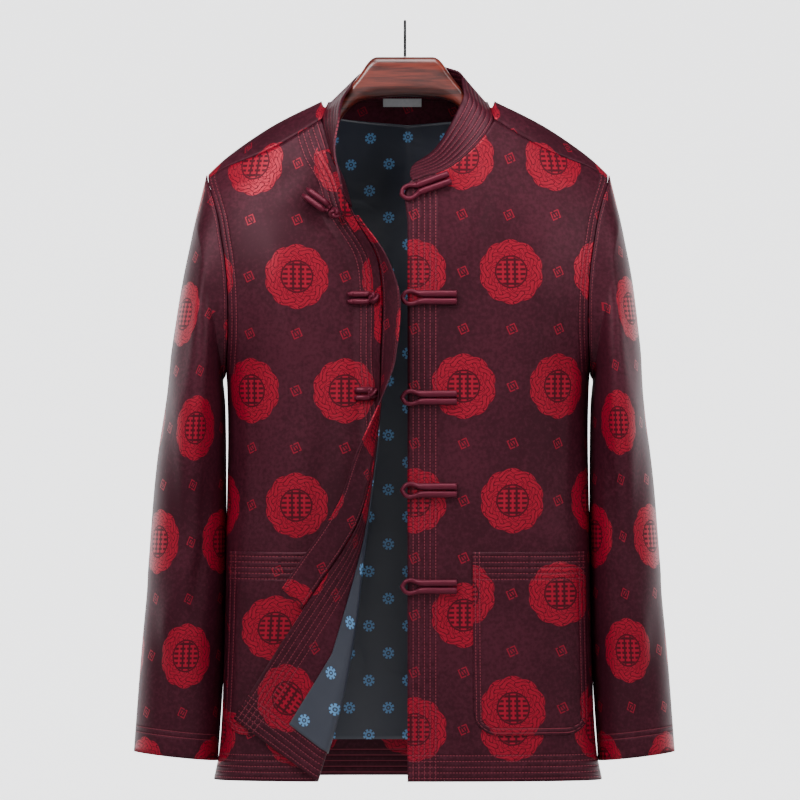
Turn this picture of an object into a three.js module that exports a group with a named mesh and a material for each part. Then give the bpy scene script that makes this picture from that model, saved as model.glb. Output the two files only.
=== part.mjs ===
// A tang jacket on a wooden hanger, in millimetres: +Z up, the front faces -Y.
// The origin is the point of the hook that bears on its rail.
import * as THREE from "three";

const bodyShift = 3.3; // the jacket hangs this far to +X of the hook
const shellWall = 1.4;
const skinWall = 1;
const layerGap = 0.3;
const skinGap = 0.5; // from the shell to the lining and facing
const liningPull = 1.2; // the lining ends this far inside the side seams
const seamPull = 0.45; // each panel's edge stays this far back from a seam
const archHeight = 200; // drop from the shoulder ridge over which the body fills out
const archPower = 0.6;
const squareness = 3; // of the body's section
const collarWall = 2;
const facingWidth = 52;
const underlapWidth = 31.5;

const wine = { color: 0x4a1a2a, roughness: 0.55, metalness: 0 };
const navy = { color: 0x3a4052, roughness: 0.5, metalness: 0 };
const grey = { color: 0x8a8a88, roughness: 0.8, metalness: 0 };
const mahogany = { color: 0x5a1a10, roughness: 0.4, metalness: 0 };
const blackWire = { color: 0x101010, roughness: 0.4, metalness: 0.6 };

// Height of the shoulder ridge, and on to the middle above the neck.
const ridge = [
  { x: 0, z: -28 },
  { x: 40, z: -54 },
  { x: 70, z: -72 },
  { x: 95, z: -86 },
  { x: 125, z: -100.5 },
  { x: 150, z: -114 },
  { x: 176, z: -131 },
  { x: 200, z: -149 },
  { x: 218, z: -166 },
  { x: 240, z: -190 },
];
// The shoulder seam lies in front of the ridge, this far below it.
const shoulderSeam = [
  { x: 90, drop: 20 },
  { x: 125, drop: 25 },
  { x: 150, drop: 25 },
  { x: 175, drop: 19 },
  { x: 200, drop: 10 },
  { x: 222, drop: 3 },
];
// Sections of the body, from the hem up.
const sections = [
  { z: -824, halfWidth: 211.6, front: 78, back: 70 },
  { z: -795, halfWidth: 206, front: 79, back: 71 },
  { z: -735, halfWidth: 202, front: 82, back: 73 },
  { z: -575, halfWidth: 198.5, front: 88, back: 79 },
  { z: -386, halfWidth: 198, front: 90, back: 82 },
  { z: -340, halfWidth: 212, front: 90, back: 82 },
  { z: -290, halfWidth: 228, front: 88, back: 81 },
  { z: -230, halfWidth: 240, front: 85, back: 80 },
  { z: -172, halfWidth: 248, front: 81, back: 79 },
  { z: -80, halfWidth: 252, front: 80, back: 78 },
];
const armhole = [
  { z: -386, x: 198 },
  { z: -340, x: 195 },
  { z: -290, x: 195.5 },
  { z: -257, x: 198.5 },
  { z: -233, x: 202.5 },
  { z: -213, x: 206 },
  { z: -195, x: 211 },
  { z: -172, x: 218.5 },
  { z: -164, x: 219 },
];
// How the right front's edge rolls outward, from the hem up: where the roll starts, its radius,
// the angle it turns through, how far the rows climb beyond it, the cloth from the start to the
// closing edge, the turn of the underlap strip beyond that, the strip's width, and how far the
// panel sinks before the roll.
const roll = [
  { z: -824, start: -104, radius: 6, turn: 184, lift: 36, reach: 124, strip: 184, width: 31.5, dip: 0 },
  { z: -779, start: -90.7, radius: 6.5, turn: 179, lift: 38, reach: 113, strip: 182, width: 31.5, dip: 0 },
  { z: -735, start: -79.5, radius: 7, turn: 172, lift: 39, reach: 101, strip: 180, width: 31.5, dip: 0 },
  { z: -692, start: -71.5, radius: 7.5, turn: 163, lift: 42, reach: 87, strip: 180, width: 31.5, dip: 0 },
  { z: -649, start: -65, radius: 8, turn: 150, lift: 44, reach: 72, strip: 180, width: 31.5, dip: 0 },
  { z: -606, start: -61, radius: 9, turn: 125, lift: 44, reach: 58, strip: 175, width: 31.5, dip: 0 },
  { z: -563, start: -57.5, radius: 11, turn: 100, lift: 42, reach: 49, strip: 160, width: 31.5, dip: 0 },
  { z: -519, start: -55, radius: 14, turn: 90, lift: 35, reach: 45, strip: 142, width: 31.5, dip: 2 },
  { z: -465, start: -52.6, radius: 18, turn: 88, lift: 20, reach: 40, strip: 112, width: 31.5, dip: 6 },
  { z: -411, start: -55, radius: 26, turn: 80, lift: 8, reach: 37, strip: 84, width: 31.5, dip: 12 },
  { z: -368, start: -58.5, radius: 34, turn: 62, lift: 0, reach: 36.8, strip: 62, width: 31.5, dip: 16 },
  { z: -303, start: -60, radius: 42, turn: 52, lift: 0, reach: 38, strip: 54, width: 31.5, dip: 20 },
  { z: -256, start: -67, radius: 45, turn: 50, lift: 0, reach: 39, strip: 56, width: 16, dip: 20 },
  { z: -208, start: -95, radius: 60, turn: 35, lift: 0, reach: 37, strip: 50, width: 5, dip: 18 },
  { z: -174, start: -96, radius: 51, turn: 30, lift: 0, reach: 27, strip: 50, width: 5, dip: 14 },
  { z: -143, start: -98, radius: 40, turn: 20, lift: 0, reach: 14, strip: 50, width: 5, dip: 8 },
  { z: -112, start: -98, radius: 30, turn: 8, lift: 0, reach: 4, strip: 50, width: 5, dip: 2 },
  { z: -100, start: -98, radius: 30, turn: 8, lift: 0, reach: 3.6, strip: 50, width: 5, dip: 2 },
];
// Rows of the two fronts: the height at the side or armhole, and at the inner end.
const lowRows = [-824, -794, -774, -731, -690, -649, -606, -575.6, -519, -465, -425, -386];
const leftUpperRows = [
  { outer: -345, inner: -325, innerX: -0.6 },
  { outer: -300, inner: -270, innerX: -0.6 },
  { outer: -262, inner: -222, innerX: -0.6 },
  { outer: -232, inner: -178.2, innerX: -0.6 },
  { outer: -210, inner: -162, innerX: 40 },
  { outer: -192, inner: -143.6, innerX: 64.7 },
  { outer: -180, inner: -126, innerX: 82 },
];
const rightUpperRows = [
  { outer: -345, inner: -335 },
  { outer: -300, inner: -290 },
  { outer: -262, inner: -250 },
  { outer: -232, inner: -208 },
  { outer: -210, inner: -174 },
  { outer: -188, inner: -143 },
];
const backLowRows = [-824, -786, -700, -575.6, -465, -386];
const backArchRows = 7;
const halfColumns = [1, 0.98, 0.93, 0.85, 0.694, 0.633, 0.53, 0.433]; // out of the side's distance
const neckColumns = [0.4, 0.28, 0.14];
// The collar's slope from its seam to its top edge, from the left end round the back.
const collarLean = [
  { at: 0, x: -4, y: 16, z: 8 },
  { at: 0.04, x: -14, y: 32, z: 14 },
  { at: 0.1, x: -20, y: 34, z: 19 },
  { at: 0.2, x: -30, y: 18, z: 28 },
  { at: 0.3, x: -31, y: 2, z: 31 },
  { at: 0.42, x: -14, y: -14, z: 38 },
  { at: 0.5, x: 0, y: -21, z: 39 },
  { at: 0.58, x: 14, y: -14, z: 38 },
  { at: 0.7, x: 31, y: 2, z: 31 },
  { at: 0.8, x: 19, y: -26, z: 20 },
  { at: 0.88, x: 1, y: -38, z: 6 },
  { at: 0.96, x: -6, y: -36, z: 4 },
  { at: 1, x: -5, y: -20, z: 6 },
];
// Sections of a sleeve below the armhole: its inner and outer ends and half its depth.
const sleeveRings = [
  { innerX: 201, innerZ: -389, outerX: 231, outerZ: -212, depth: 60, flare: 0 },
  { innerX: 201.3, innerZ: -393, outerX: 244, outerZ: -275, depth: 68, flare: 0.1 },
  { innerX: 201.5, innerZ: -400, outerX: 253, outerZ: -345, depth: 72, flare: 0.4 },
  { innerX: 201.5, innerZ: -428, outerX: 260, outerZ: -418, depth: 73, flare: 0.8 },
  { innerX: 201.5, innerZ: -505, outerX: 268, outerZ: -500, depth: 68, flare: 1 },
  { innerX: 202.5, innerZ: -605, outerX: 276, outerZ: -602, depth: 60, flare: 1 },
  { innerX: 205, innerZ: -705, outerX: 284, outerZ: -700, depth: 53, flare: 1 },
  { innerX: 209, innerZ: -804, outerX: 291, outerZ: -794, depth: 48, flare: 1 },
];
const sleeveFlare = { left: 0, right: 8 };
const sleeveSides = 14;
const armholeGap = 0.9;
const shoulderTip = 217.8;
// Sections of the hanger from its middle out.
const hangerSections = [
  { x: 0, top: -37.6, bottom: -80, depth: 14 },
  { x: 37, top: -37.6, bottom: -82, depth: 14 },
  { x: 49, top: -57, bottom: -85, depth: 14 },
  { x: 60, top: -70, bottom: -92, depth: 13 },
  { x: 88, top: -112, bottom: -132, depth: 12 },
  { x: 150, top: -134, bottom: -158, depth: 15 },
  { x: 194, top: -168, bottom: -190, depth: 14 },
  { x: 205, top: -180, bottom: -192, depth: 8 },
];
const wireRadius = 1.55;
const hookRadius = 15.5;
// A fastening's strap and knot: distance along it, half its width and half its height.
const knotSections = [
  { at: 0, wide: 6.8, high: 2.6 },
  { at: 0.05, wide: 7.8, high: 3.4 },
  { at: 0.7, wide: 7.8, high: 3.4 },
  { at: 0.75, wide: 4, high: 3 },
  { at: 0.79, wide: 3, high: 3 },
  { at: 0.85, wide: 5.2, high: 5 },
  { at: 0.91, wide: 5.8, high: 5.6 },
  { at: 0.97, wide: 4.4, high: 4.4 },
  { at: 1, wide: 2, high: 2 },
];
// Half of a loop's cord: distance from its tip, distance off its middle line, cord radius.
const loopCord = [
  { at: 59, off: 4.1, radius: 3.7 },
  { at: 40, off: 4.1, radius: 3.7 },
  { at: 21, off: 4.1, radius: 3.7 },
  { at: 15, off: 5.6, radius: 2.6 },
  { at: 9, off: 7, radius: 2.4 },
  { at: 3.5, off: 5.2, radius: 2.4 },
  { at: 0, off: 0, radius: 2.4 },
];

const radians = (degrees) => (degrees * Math.PI) / 180;
const clamp = THREE.MathUtils.clamp;
const mix = THREE.MathUtils.lerp;

// A table's column at a value of its key, by a cubic through its rows.
function along(table, key, value, column) {
  const last = table.length - 1;
  const at = clamp(value, table[0][key], table[last][key]);
  let i = 0;
  while (i < last - 1 && at > table[i + 1][key]) i += 1;
  const step = table[i + 1][key] - table[i][key];
  const slope = (k) => {
    const before = table[Math.max(k - 1, 0)];
    const after = table[Math.min(k + 1, last)];
    return (after[column] - before[column]) / (after[key] - before[key]);
  };
  const t = (at - table[i][key]) / step;
  const rise = t * t * (3 - 2 * t);
  const bend = t * (1 - t) * step * ((1 - t) * slope(i) - t * slope(i + 1));
  return mix(table[i][column], table[i + 1][column], rise) + bend;
}

const ridgeAt = (x) => along(ridge, "x", Math.abs(x), "z");
const seamAt = (x) => ridgeAt(x) - along(shoulderSeam, "x", Math.abs(x), "drop");
const armholeAt = (z) => along(armhole, "z", z, "x");

// How full the body is at x, z: none on the ridge and at the sides, all in the middle of the chest.
function fullness(x, z) {
  const drop = clamp((ridgeAt(x) - z) / archHeight, 0, 1);
  const across = Math.abs(x) / along(sections, "z", z, "halfWidth");
  const section = clamp(1 - across ** squareness, 0, 1) ** (1 / squareness);
  return section * (1 - (1 - drop) ** 2) ** archPower;
}
const frontY = (x, z) => -along(sections, "z", z, "front") * fullness(x, z);
const backY = (x, z) => along(sections, "z", z, "back") * fullness(x, z);

// Gives each point of a grid its normal, all on the side of the direction given at the first point.
function withNormals(points, outward, closed = false) {
  const rows = points.length;
  const columns = points[0].length;
  const at = (r, c) => points[clamp(r, 0, rows - 1)][closed ? (c + columns) % columns : clamp(c, 0, columns - 1)];
  const normal = (r, c) => {
    const up = new THREE.Vector3().subVectors(at(r + 1, c), at(r - 1, c));
    const over = new THREE.Vector3().subVectors(at(r, c + 1), at(r, c - 1));
    return up.cross(over).normalize();
  };
  const turn = Math.sign(normal(1, 1).dot(outward));
  return points.map((row, r) => row.map((p, c) => ({ p, n: normal(r, c).multiplyScalar(turn) })));
}

const between = (a, b, t) => ({ p: a.p.clone().lerp(b.p, t), n: a.n.clone().lerp(b.n, t).normalize() });

// Moves an edge of a grid back along its own lines, so the edge stays on the same facets.
function pulled(grid, edge, distance = seamPull) {
  const back = (a, b) => between(a, b, Math.min(distance / a.p.distanceTo(b.p), 0.9));
  const rows = grid.map((row) => [...row]);
  const last = rows.length - 1;
  const end = rows[0].length - 1;
  if (edge === "first") rows[0] = rows[0].map((v, c) => back(v, rows[1][c]));
  if (edge === "last") rows[last] = rows[last].map((v, c) => back(v, rows[last - 1][c]));
  if (edge === "left") rows.forEach((row) => (row[0] = back(row[0], row[1])));
  if (edge === "right") rows.forEach((row) => (row[end] = back(row[end], row[end - 1])));
  return rows;
}

const patch = (grid, r0, r1, c0, c1) => grid.slice(r0, r1 + 1).map((row) => row.slice(c0, c1 + 1));

// A closed mesh of triangles, turned the right way round by its volume.
function solid(name, look, points, faces) {
  const volume = faces.reduce((sum, [a, b, c]) => {
    const cross = new THREE.Vector3().crossVectors(points[b], points[c]);
    return sum + points[a].dot(cross);
  }, 0);
  const flat = faces.flatMap(([a, b, c]) => (volume > 0 ? [a, b, c] : [a, c, b]));
  const geometry = new THREE.BufferGeometry().setFromPoints(points);
  geometry.setIndex(flat);
  geometry.computeVertexNormals();
  const mesh = new THREE.Mesh(geometry, new THREE.MeshStandardMaterial(look));
  mesh.name = name;
  return mesh;
}

// A wall of cloth on a grid, between two depths below its outer face.
function wall(name, look, grid, from, to, closed = false) {
  const rows = grid.length;
  const columns = grid[0].length;
  const layer = rows * columns;
  const points = [from, to].flatMap((depth) =>
    grid.flatMap((row) => row.map(({ p, n }) => p.clone().addScaledVector(n, -depth))),
  );
  const id = (side, r, c) => side * layer + r * columns + (c % columns);
  const faces = [];
  const quad = (a, b, c, d) => faces.push([a, b, c], [a, c, d]);
  const spans = closed ? columns : columns - 1;
  for (let r = 0; r < rows - 1; r += 1)
    for (let c = 0; c < spans; c += 1) {
      quad(id(0, r, c), id(0, r, c + 1), id(0, r + 1, c + 1), id(0, r + 1, c));
      faces.push([id(1, r, c), id(1, r + 1, c + 1), id(1, r, c + 1)]);
      faces.push([id(1, r, c), id(1, r + 1, c), id(1, r + 1, c + 1)]);
    }
  for (let c = 0; c < spans; c += 1) {
    quad(id(1, 0, c), id(1, 0, c + 1), id(0, 0, c + 1), id(0, 0, c));
    quad(id(0, rows - 1, c), id(0, rows - 1, c + 1), id(1, rows - 1, c + 1), id(1, rows - 1, c));
  }
  if (!closed)
    for (let r = 0; r < rows - 1; r += 1) {
      quad(id(0, r, 0), id(0, r + 1, 0), id(1, r + 1, 0), id(1, r, 0));
      quad(id(1, r, columns - 1), id(1, r + 1, columns - 1), id(0, r + 1, columns - 1), id(0, r, columns - 1));
    }
  return solid(name, look, points, faces);
}

// A solid lofted through rings of equal length, with a flat end on each.
function loft(name, look, rings) {
  const sides = rings[0].length;
  const middle = (ring) => ring.reduce((sum, p) => sum.add(p), new THREE.Vector3()).divideScalar(sides);
  const points = [...rings.flat(), middle(rings[0]), middle(rings[rings.length - 1])];
  const [startCap, endCap] = [points.length - 2, points.length - 1];
  const faces = [];
  for (let c = 0; c < sides; c += 1) {
    const d = (c + 1) % sides;
    for (let r = 0; r < rings.length - 1; r += 1) {
      const [a, b] = [r * sides, (r + 1) * sides];
      faces.push([a + c, a + d, b + d], [a + c, b + d, b + c]);
    }
    const end = (rings.length - 1) * sides;
    faces.push([startCap, d, c], [endCap, end + c, end + d]);
  }
  return solid(name, look, points, faces);
}

// An oval ring about a centre, in the plane of two unit directions.
function oval(centre, across, up, wide, high, sides) {
  return Array.from({ length: sides }, (_, k) => {
    const angle = (2 * Math.PI * k) / sides;
    return centre
      .clone()
      .addScaledVector(across, wide * Math.cos(angle))
      .addScaledVector(up, high * Math.sin(angle));
  });
}

const frontColumns = halfColumns.map((c) => (1 - c) / (1 - halfColumns[halfColumns.length - 1]));
const frontSide = new THREE.Vector3(0, -1, 0);
const backSide = new THREE.Vector3(0, 1, 0);

// The left front from its side seam to its closing edge and neckline.
function leftFront() {
  const row = (outer, inner, innerX) =>
    frontColumns.map((f) => {
      const z = mix(outer, inner, f);
      const x = mix(outer > -386 ? armholeAt(outer) : along(sections, "z", outer, "halfWidth"), innerX, f);
      return new THREE.Vector3(x, Math.min(frontY(x, z), -seamPull), z);
    });
  const top = halfColumns.map((c) => {
    const x = c * shoulderTip;
    return new THREE.Vector3(x, frontY(x, seamAt(x)), seamAt(x));
  });
  const rows = [
    ...lowRows.map((z) => row(z, z, -0.6)),
    ...leftUpperRows.map((r) => row(r.outer, r.inner, r.innerX)),
    top,
  ];
  return withNormals(rows, frontSide);
}

// A point of the right front's edge region: q is the cloth's distance past the start of the roll.
function rolled(z, q) {
  const value = (column) => along(roll, "z", z, column);
  const [radius, reach] = [value("radius"), value("reach")];
  const [turn, strip, lift] = [radians(value("turn")), radians(value("strip")), radians(value("lift"))];
  const place = { x: value("start"), gap: -value("dip"), z };
  const steps = Math.ceil(q / 1.2);
  for (let i = 0; i < steps; i += 1) {
    const here = (q * (i + 0.5)) / steps;
    const pastEdge = clamp((here - reach) / 10, 0, 1);
    const heading = Math.min(here / radius, turn) + pastEdge * (strip - Math.min(reach / radius, turn));
    const climb = lift * clamp(heading / turn, 0, 1);
    place.x += (Math.cos(heading) * Math.cos(climb) * q) / steps;
    place.gap += (Math.sin(heading) * Math.cos(climb) * q) / steps;
    place.z += (Math.sin(climb) * q) / steps;
  }
  return new THREE.Vector3(place.x, frontY(place.x, place.z) - place.gap, place.z);
}

// Distances of the right front's columns past the start of the roll. The fifth is the facing's edge.
function rollColumns(z) {
  const value = (column) => along(roll, "z", z, column);
  const reach = value("reach");
  const bend = Math.min(value("radius") * radians(value("turn")), 0.6 * reach);
  const facing = Math.max(reach - facingWidth, mix(bend, reach, 0.25));
  return [bend / 3, (2 * bend) / 3, bend, facing, (facing + reach) / 2, reach];
}

function rightFront() {
  const row = (outer, inner) => {
    const side = -(outer > -386 ? armholeAt(outer) : along(sections, "z", outer, "halfWidth"));
    const start = along(roll, "z", inner, "start");
    const dip = along(roll, "z", inner, "dip");
    const main = frontColumns.map((f) => {
      const [x, z] = [mix(side, start, f), mix(outer, inner, f)];
      return new THREE.Vector3(x, Math.min(frontY(x, z) + dip * f * f, -seamPull), z);
    });
    return [...main, ...rollColumns(inner).map((q) => rolled(inner, q))];
  };
  const start = along(roll, "z", -110, "start");
  const top = halfColumns.map((c, i) => {
    const x = mix(-shoulderTip, start, frontColumns[i]);
    return new THREE.Vector3(x, frontY(x, seamAt(x)), seamAt(x));
  });
  const neckEnd = -94.6;
  const topEnd = rollColumns(-110).map((q, i, list) => {
    const x = mix(start, neckEnd, q / list[list.length - 1]);
    return new THREE.Vector3(x, frontY(x, seamAt(x)), seamAt(x));
  });
  const rows = [
    ...lowRows.map((z) => row(z, z)),
    ...rightUpperRows.map((r) => row(r.outer, r.inner)),
    [...top, ...topEnd],
  ];
  return withNormals(rows, frontSide);
}

// The back from side to side, over the ridge to the shoulder seams and the back neck.
function backPanel() {
  const half = [...halfColumns, ...neckColumns];
  const columns = [...half.map((c) => -c), 0, ...half.reverse()];
  const lowest = backLowRows[backLowRows.length - 1];
  const low = backLowRows.map((z) => {
    const width = along(sections, "z", z, "halfWidth");
    return columns.map((c) => new THREE.Vector3(c * width, Math.max(backY(c * width, z), seamPull), z));
  });
  // Past the ridge the root of the drop turns negative, which is its front side.
  const neckDrop = (x) => ridgeAt(x) - mix(-82, -86, (x / 87) ** 2);
  const root = (x, t) => {
    const end = Math.abs(x) > 93 ? -Math.sqrt(ridgeAt(x) - seamAt(x)) : Math.sqrt(Math.max(neckDrop(x), 0.3));
    return mix(Math.sqrt(ridgeAt(x) - lowest), end, t);
  };
  const arch = Array.from({ length: backArchRows }, (_, j) => {
    const t = (j + 1) / backArchRows;
    let outer = 200;
    for (let i = 0; i < 6; i += 1) outer = armholeAt(ridgeAt(outer) - root(outer, t) ** 2);
    const side = j === backArchRows - 1 ? shoulderTip : outer;
    return columns.map((c) => {
      const x = c * side;
      const r = root(x, t);
      const z = ridgeAt(x) - r * r;
      return new THREE.Vector3(x, r > 0 ? backY(x, z) : frontY(x, z), z);
    });
  });
  return withNormals([...low, ...arch], backSide);
}

function sleeve(name, side, flare) {
  const bottom = armhole[0].z;
  const top = -166.5;
  const turn = (k) => (2 * Math.PI * k) / sleeveSides;
  const first = Array.from({ length: sleeveSides }, (_, k) => {
    const z = mix(bottom, top, (1 + Math.cos(turn(k))) / 2);
    const x = armholeAt(z) + armholeGap;
    const forward = Math.sin(turn(k));
    const y = forward > 0 ? frontY(x - armholeGap, z) : backY(x - armholeGap, z);
    return new THREE.Vector3(side * x, Math.abs(forward) < 0.01 ? 0 : y, z);
  });
  const rings = sleeveRings.map((ring) =>
    Array.from({ length: sleeveSides }, (_, k) => {
      const out = (1 + Math.cos(turn(k))) / 2;
      const x = mix(ring.innerX, ring.outerX + flare * ring.flare, out);
      const y = -ring.depth * Math.sin(turn(k));
      return new THREE.Vector3(side * x, y, mix(ring.innerZ, ring.outerZ, out));
    }),
  );
  const grid = withNormals([first, ...rings], new THREE.Vector3(side, -1, 0.3), true);
  return wall(name, wine, grid, 0, shellWall, true);
}

// The collar stands on the neckline: the left front's edge, the back neck and the right front's edge.
function collar(left, back, right) {
  const neckRow = lowRows.length + 3;
  const leftEdge = left.slice(neckRow, -1).map((row) => row[row.length - 1].p);
  const backRow = back[back.length - 1];
  const inner = neckColumns.length + 1;
  const middle = (backRow.length - 1) / 2;
  const backEdge = backRow.slice(middle - inner, middle + inner + 1).map((v) => v.p).reverse();
  const rightEdge = right.slice(neckRow, -1).map((row) => row[row.length - 1].p).reverse();
  const base = [...leftEdge, ...backEdge, ...rightEdge];
  const lengths = base.map((p, i) => (i ? p.distanceTo(base[i - 1]) : 0));
  const total = lengths.reduce((a, b) => a + b, 0);
  let run = 0;
  const stations = base.map((p, i) => {
    run += lengths[i];
    const lean = ["x", "y", "z"].map((axis) => along(collarLean, "at", run / total, axis));
    return { p, lean: new THREE.Vector3(...lean) };
  });
  const rise = (station, share) =>
    station.p.clone().addScaledVector(station.lean, share).addScaledVector(station.lean.clone().normalize(), 1.2);
  const rows = [0, 0.34, 0.67, 1].map((share) => stations.map((s) => rise(s, share)));
  return wall("collar", wine, withNormals(rows, new THREE.Vector3(0.2, -1, 0.6)), -collarWall, 0);
}

// A loop of doubled cord that lies on the left front, from its tip at x, z, along an angle.
function frogLoop(name, tipX, tipZ, angle, length) {
  const direction = new THREE.Vector3(Math.cos(angle), 0, Math.sin(angle));
  const across = new THREE.Vector3(-Math.sin(angle), 0, Math.cos(angle));
  const shrink = length / loopCord[0].at;
  const halves = [...loopCord, ...loopCord.slice(0, -1).reverse().map((row) => ({ ...row, off: -row.off }))];
  const points = halves.map(({ at, off, radius }) => {
    const flat = new THREE.Vector3(tipX, 0, tipZ);
    flat.addScaledVector(direction, at > 20 ? at * shrink : at).addScaledVector(across, off);
    flat.y = frontY(flat.x, flat.z) - radius - 0.6;
    return flat;
  });
  const rings = points.map((p, i) => {
    const before = points[Math.max(i - 1, 0)];
    const after = points[Math.min(i + 1, points.length - 1)];
    const forward = after.clone().sub(before).normalize();
    const side = new THREE.Vector3().crossVectors(forward, backSide).normalize();
    return oval(p, side, backSide, halves[i].radius, halves[i].radius, 6);
  });
  return loft(name, wine, rings);
}

// A strap and knot along a path on the right front, given by its points from tail to knot.
function frogKnot(name, path, off = 0.9) {
  const curve = new THREE.CatmullRomCurve3(path.map((v) => v.p));
  const outs = new THREE.CatmullRomCurve3(path.map((v) => v.n));
  const rings = knotSections.map(({ at, wide, high }) => {
    const out = outs.getPoint(at).normalize();
    const across = new THREE.Vector3().crossVectors(curve.getTangent(at), out).normalize();
    const centre = curve.getPoint(at).addScaledVector(out, high + off);
    return oval(centre, across, out, wide, high, 8);
  });
  return loft(name, wine, rings);
}

// Points of the right front's outer face along a row, from one distance past the roll to another.
function rowPath(z, from, to) {
  const step = 1;
  const at = (q) => {
    if (q >= 0) return rolled(z, q);
    const x = along(roll, "z", z, "start") + q;
    const share = 1 + q / 110;
    return new THREE.Vector3(x, frontY(x, z) + along(roll, "z", z, "dip") * share * share, z);
  };
  return [0, 0.25, 0.5, 0.75, 1].map((t) => {
    const q = mix(from, to, t);
    const forward = at(q + step).sub(at(q - step)).normalize();
    const out = new THREE.Vector3().crossVectors(forward, new THREE.Vector3(0, 0, 1)).normalize();
    return { p: at(q), n: out };
  });
}

function hanger() {
  const squared = (value) => Math.sign(value) * Math.sqrt(Math.abs(value));
  const half = hangerSections.slice(1);
  const all = [...half.map((s) => ({ ...s, x: -s.x })).reverse(), ...hangerSections];
  const rings = all.map(({ x, top, bottom, depth }) =>
    Array.from({ length: 12 }, (_, k) => {
      const angle = (2 * Math.PI * (k + 0.5)) / 12;
      const z = mix(bottom, top, (1 + squared(Math.sin(angle))) / 2);
      return new THREE.Vector3(x, depth * squared(Math.cos(angle)), z);
    }),
  );
  return loft("hanger_body", mahogany, rings);
}

function hook() {
  const centre = wireRadius - hookRadius;
  const stem = [-37.2, -35, -31].map((z) => new THREE.Vector3(0, 0, z));
  const arc = [-35, -10, 15, 40, 65, 90, 115, 140, 165, 190, 210].map((degrees) => {
    const angle = radians(degrees);
    return new THREE.Vector3(0, hookRadius * Math.cos(angle), centre + hookRadius * Math.sin(angle));
  });
  const curve = new THREE.CatmullRomCurve3([...stem, ...arc]);
  const count = 26;
  const sideways = new THREE.Vector3(1, 0, 0);
  const rings = Array.from({ length: count }, (_, i) => {
    const t = i / (count - 1);
    const up = new THREE.Vector3().crossVectors(curve.getTangentAt(t), sideways).normalize();
    return oval(curve.getPointAt(t), sideways, up, wireRadius, wireRadius, 8);
  });
  return loft("hanger_hook", blackWire, rings);
}

const jacket = new THREE.Group();
jacket.position.x = bodyShift;

const left = leftFront();
const right = rightFront();
const back = backPanel();
const lastFront = frontColumns.length - 1;
const facingColumn = lastFront + 4;
const lastRow = right.length - 1;
const innerSkin = shellWall + skinGap;

jacket.add(wall("front_left", wine, pulled(left, "last"), 0, shellWall));
jacket.add(wall("front_right", wine, pulled(right, "last"), 0, shellWall));
const backTrimmed = pulled(pulled(pulled(back, "last"), "left"), "right");
jacket.add(wall("back", wine, backTrimmed, 0, shellWall));

const skinFrom = lowRows.indexOf(-794); // the facing and lining end this far up from the hem
const facing = patch(right, skinFrom, lastRow - 1, facingColumn, facingColumn + 2);
jacket.add(wall("facing_right", wine, pulled(facing, "left"), innerSkin, innerSkin + skinWall));
const rightLining = patch(right, skinFrom, lastRow - 1, 0, facingColumn);
const rightLiningTrimmed = pulled(rightLining, "right");
jacket.add(wall("lining_front_right", navy, rightLiningTrimmed, innerSkin, innerSkin + skinWall));
const backLining = patch(back, 1, back.length - 2, 0, back[0].length - 1);
const backLiningTrimmed = pulled(pulled(backLining, "left", liningPull), "right", liningPull);
jacket.add(wall("lining_back", navy, backLiningTrimmed, innerSkin, innerSkin + skinWall));

// The underlap strip goes on from the closing edge, down to a little above the turned corner.
const stripRows = [-687, -649, -606, -563, -519, -465, -425, -386, -335, -290, -250, -212];
const strip = stripRows.map((z) => {
  const reach = along(roll, "z", z, "reach");
  const width = Math.min(along(roll, "z", z, "width"), underlapWidth);
  return [0.02, 0.34, 0.67, 1].map((share) => rolled(z, reach + 0.9 + share * width));
});
jacket.add(wall("underlap_right", wine, withNormals(strip, frontSide), 0, shellWall));

jacket.add(sleeve("sleeve_left", 1, sleeveFlare.left));
jacket.add(sleeve("sleeve_right", -1, sleeveFlare.right));
jacket.add(collar(left, back, right));

// The pockets lie on the fronts from 774 mm to 576 mm below the rail.
const pocketTop = lowRows.indexOf(-575.6);
const pocketBottom = lowRows.indexOf(-774);
const pocketWall = [-layerGap - skinWall, -layerGap];
jacket.add(wall("pocket_left", wine, patch(left, pocketBottom, pocketTop, 1, 5), ...pocketWall));
jacket.add(wall("pocket_right", wine, patch(right, pocketBottom, pocketTop, 1, 6), ...pocketWall));

const label = new THREE.Mesh(new THREE.BoxGeometry(42, 0.8, 9), new THREE.MeshStandardMaterial(grey));
label.name = "neck_label";
label.position.set(-6.2, 36, -86);
jacket.add(label);

const loopTips = [
  { x: -7, z: -190, angle: 20, length: 55 },
  { x: -6.5, z: -301, angle: 0, length: 59 },
  { x: -6.5, z: -409, angle: 0, length: 59 },
  { x: -6.5, z: -509, angle: 0, length: 59 },
  { x: -6.5, z: -613, angle: 0, length: 59 },
];
loopTips.forEach((tip, i) => {
  jacket.add(frogLoop("frog_loop_" + (i + 1), tip.x, tip.z, radians(tip.angle), tip.length));
});

// The first knot's strap runs beside the collar seam, and the others along rows of the right front.
const neckPath = [0, 0.25, 0.5, 0.75, 1].map((t) => {
  const [x, z] = [mix(-112, -76, t), mix(-186, -212, t)];
  const sunk = along(roll, "z", z, "dip");
  return { p: new THREE.Vector3(x, frontY(x, z) + sunk * 0.6 - 3, z), n: frontSide.clone() };
});
jacket.add(frogKnot("frog_knot_1", neckPath));
const knotRows = [
  { z: -301, back: 44, past: -3 },
  { z: -405, back: 40, past: -4 },
  { z: -509, back: 40, past: -2 },
  { z: -613, back: 27, past: 2, off: 4 },
];
knotRows.forEach((row, i) => {
  const reach = along(roll, "z", row.z, "reach");
  jacket.add(frogKnot("frog_knot_" + (i + 2), rowPath(row.z, reach - row.back, reach + row.past), row.off));
});

const whole = new THREE.Group();
whole.add(jacket, hanger(), hook());
export default whole;
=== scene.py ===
import math

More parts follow.
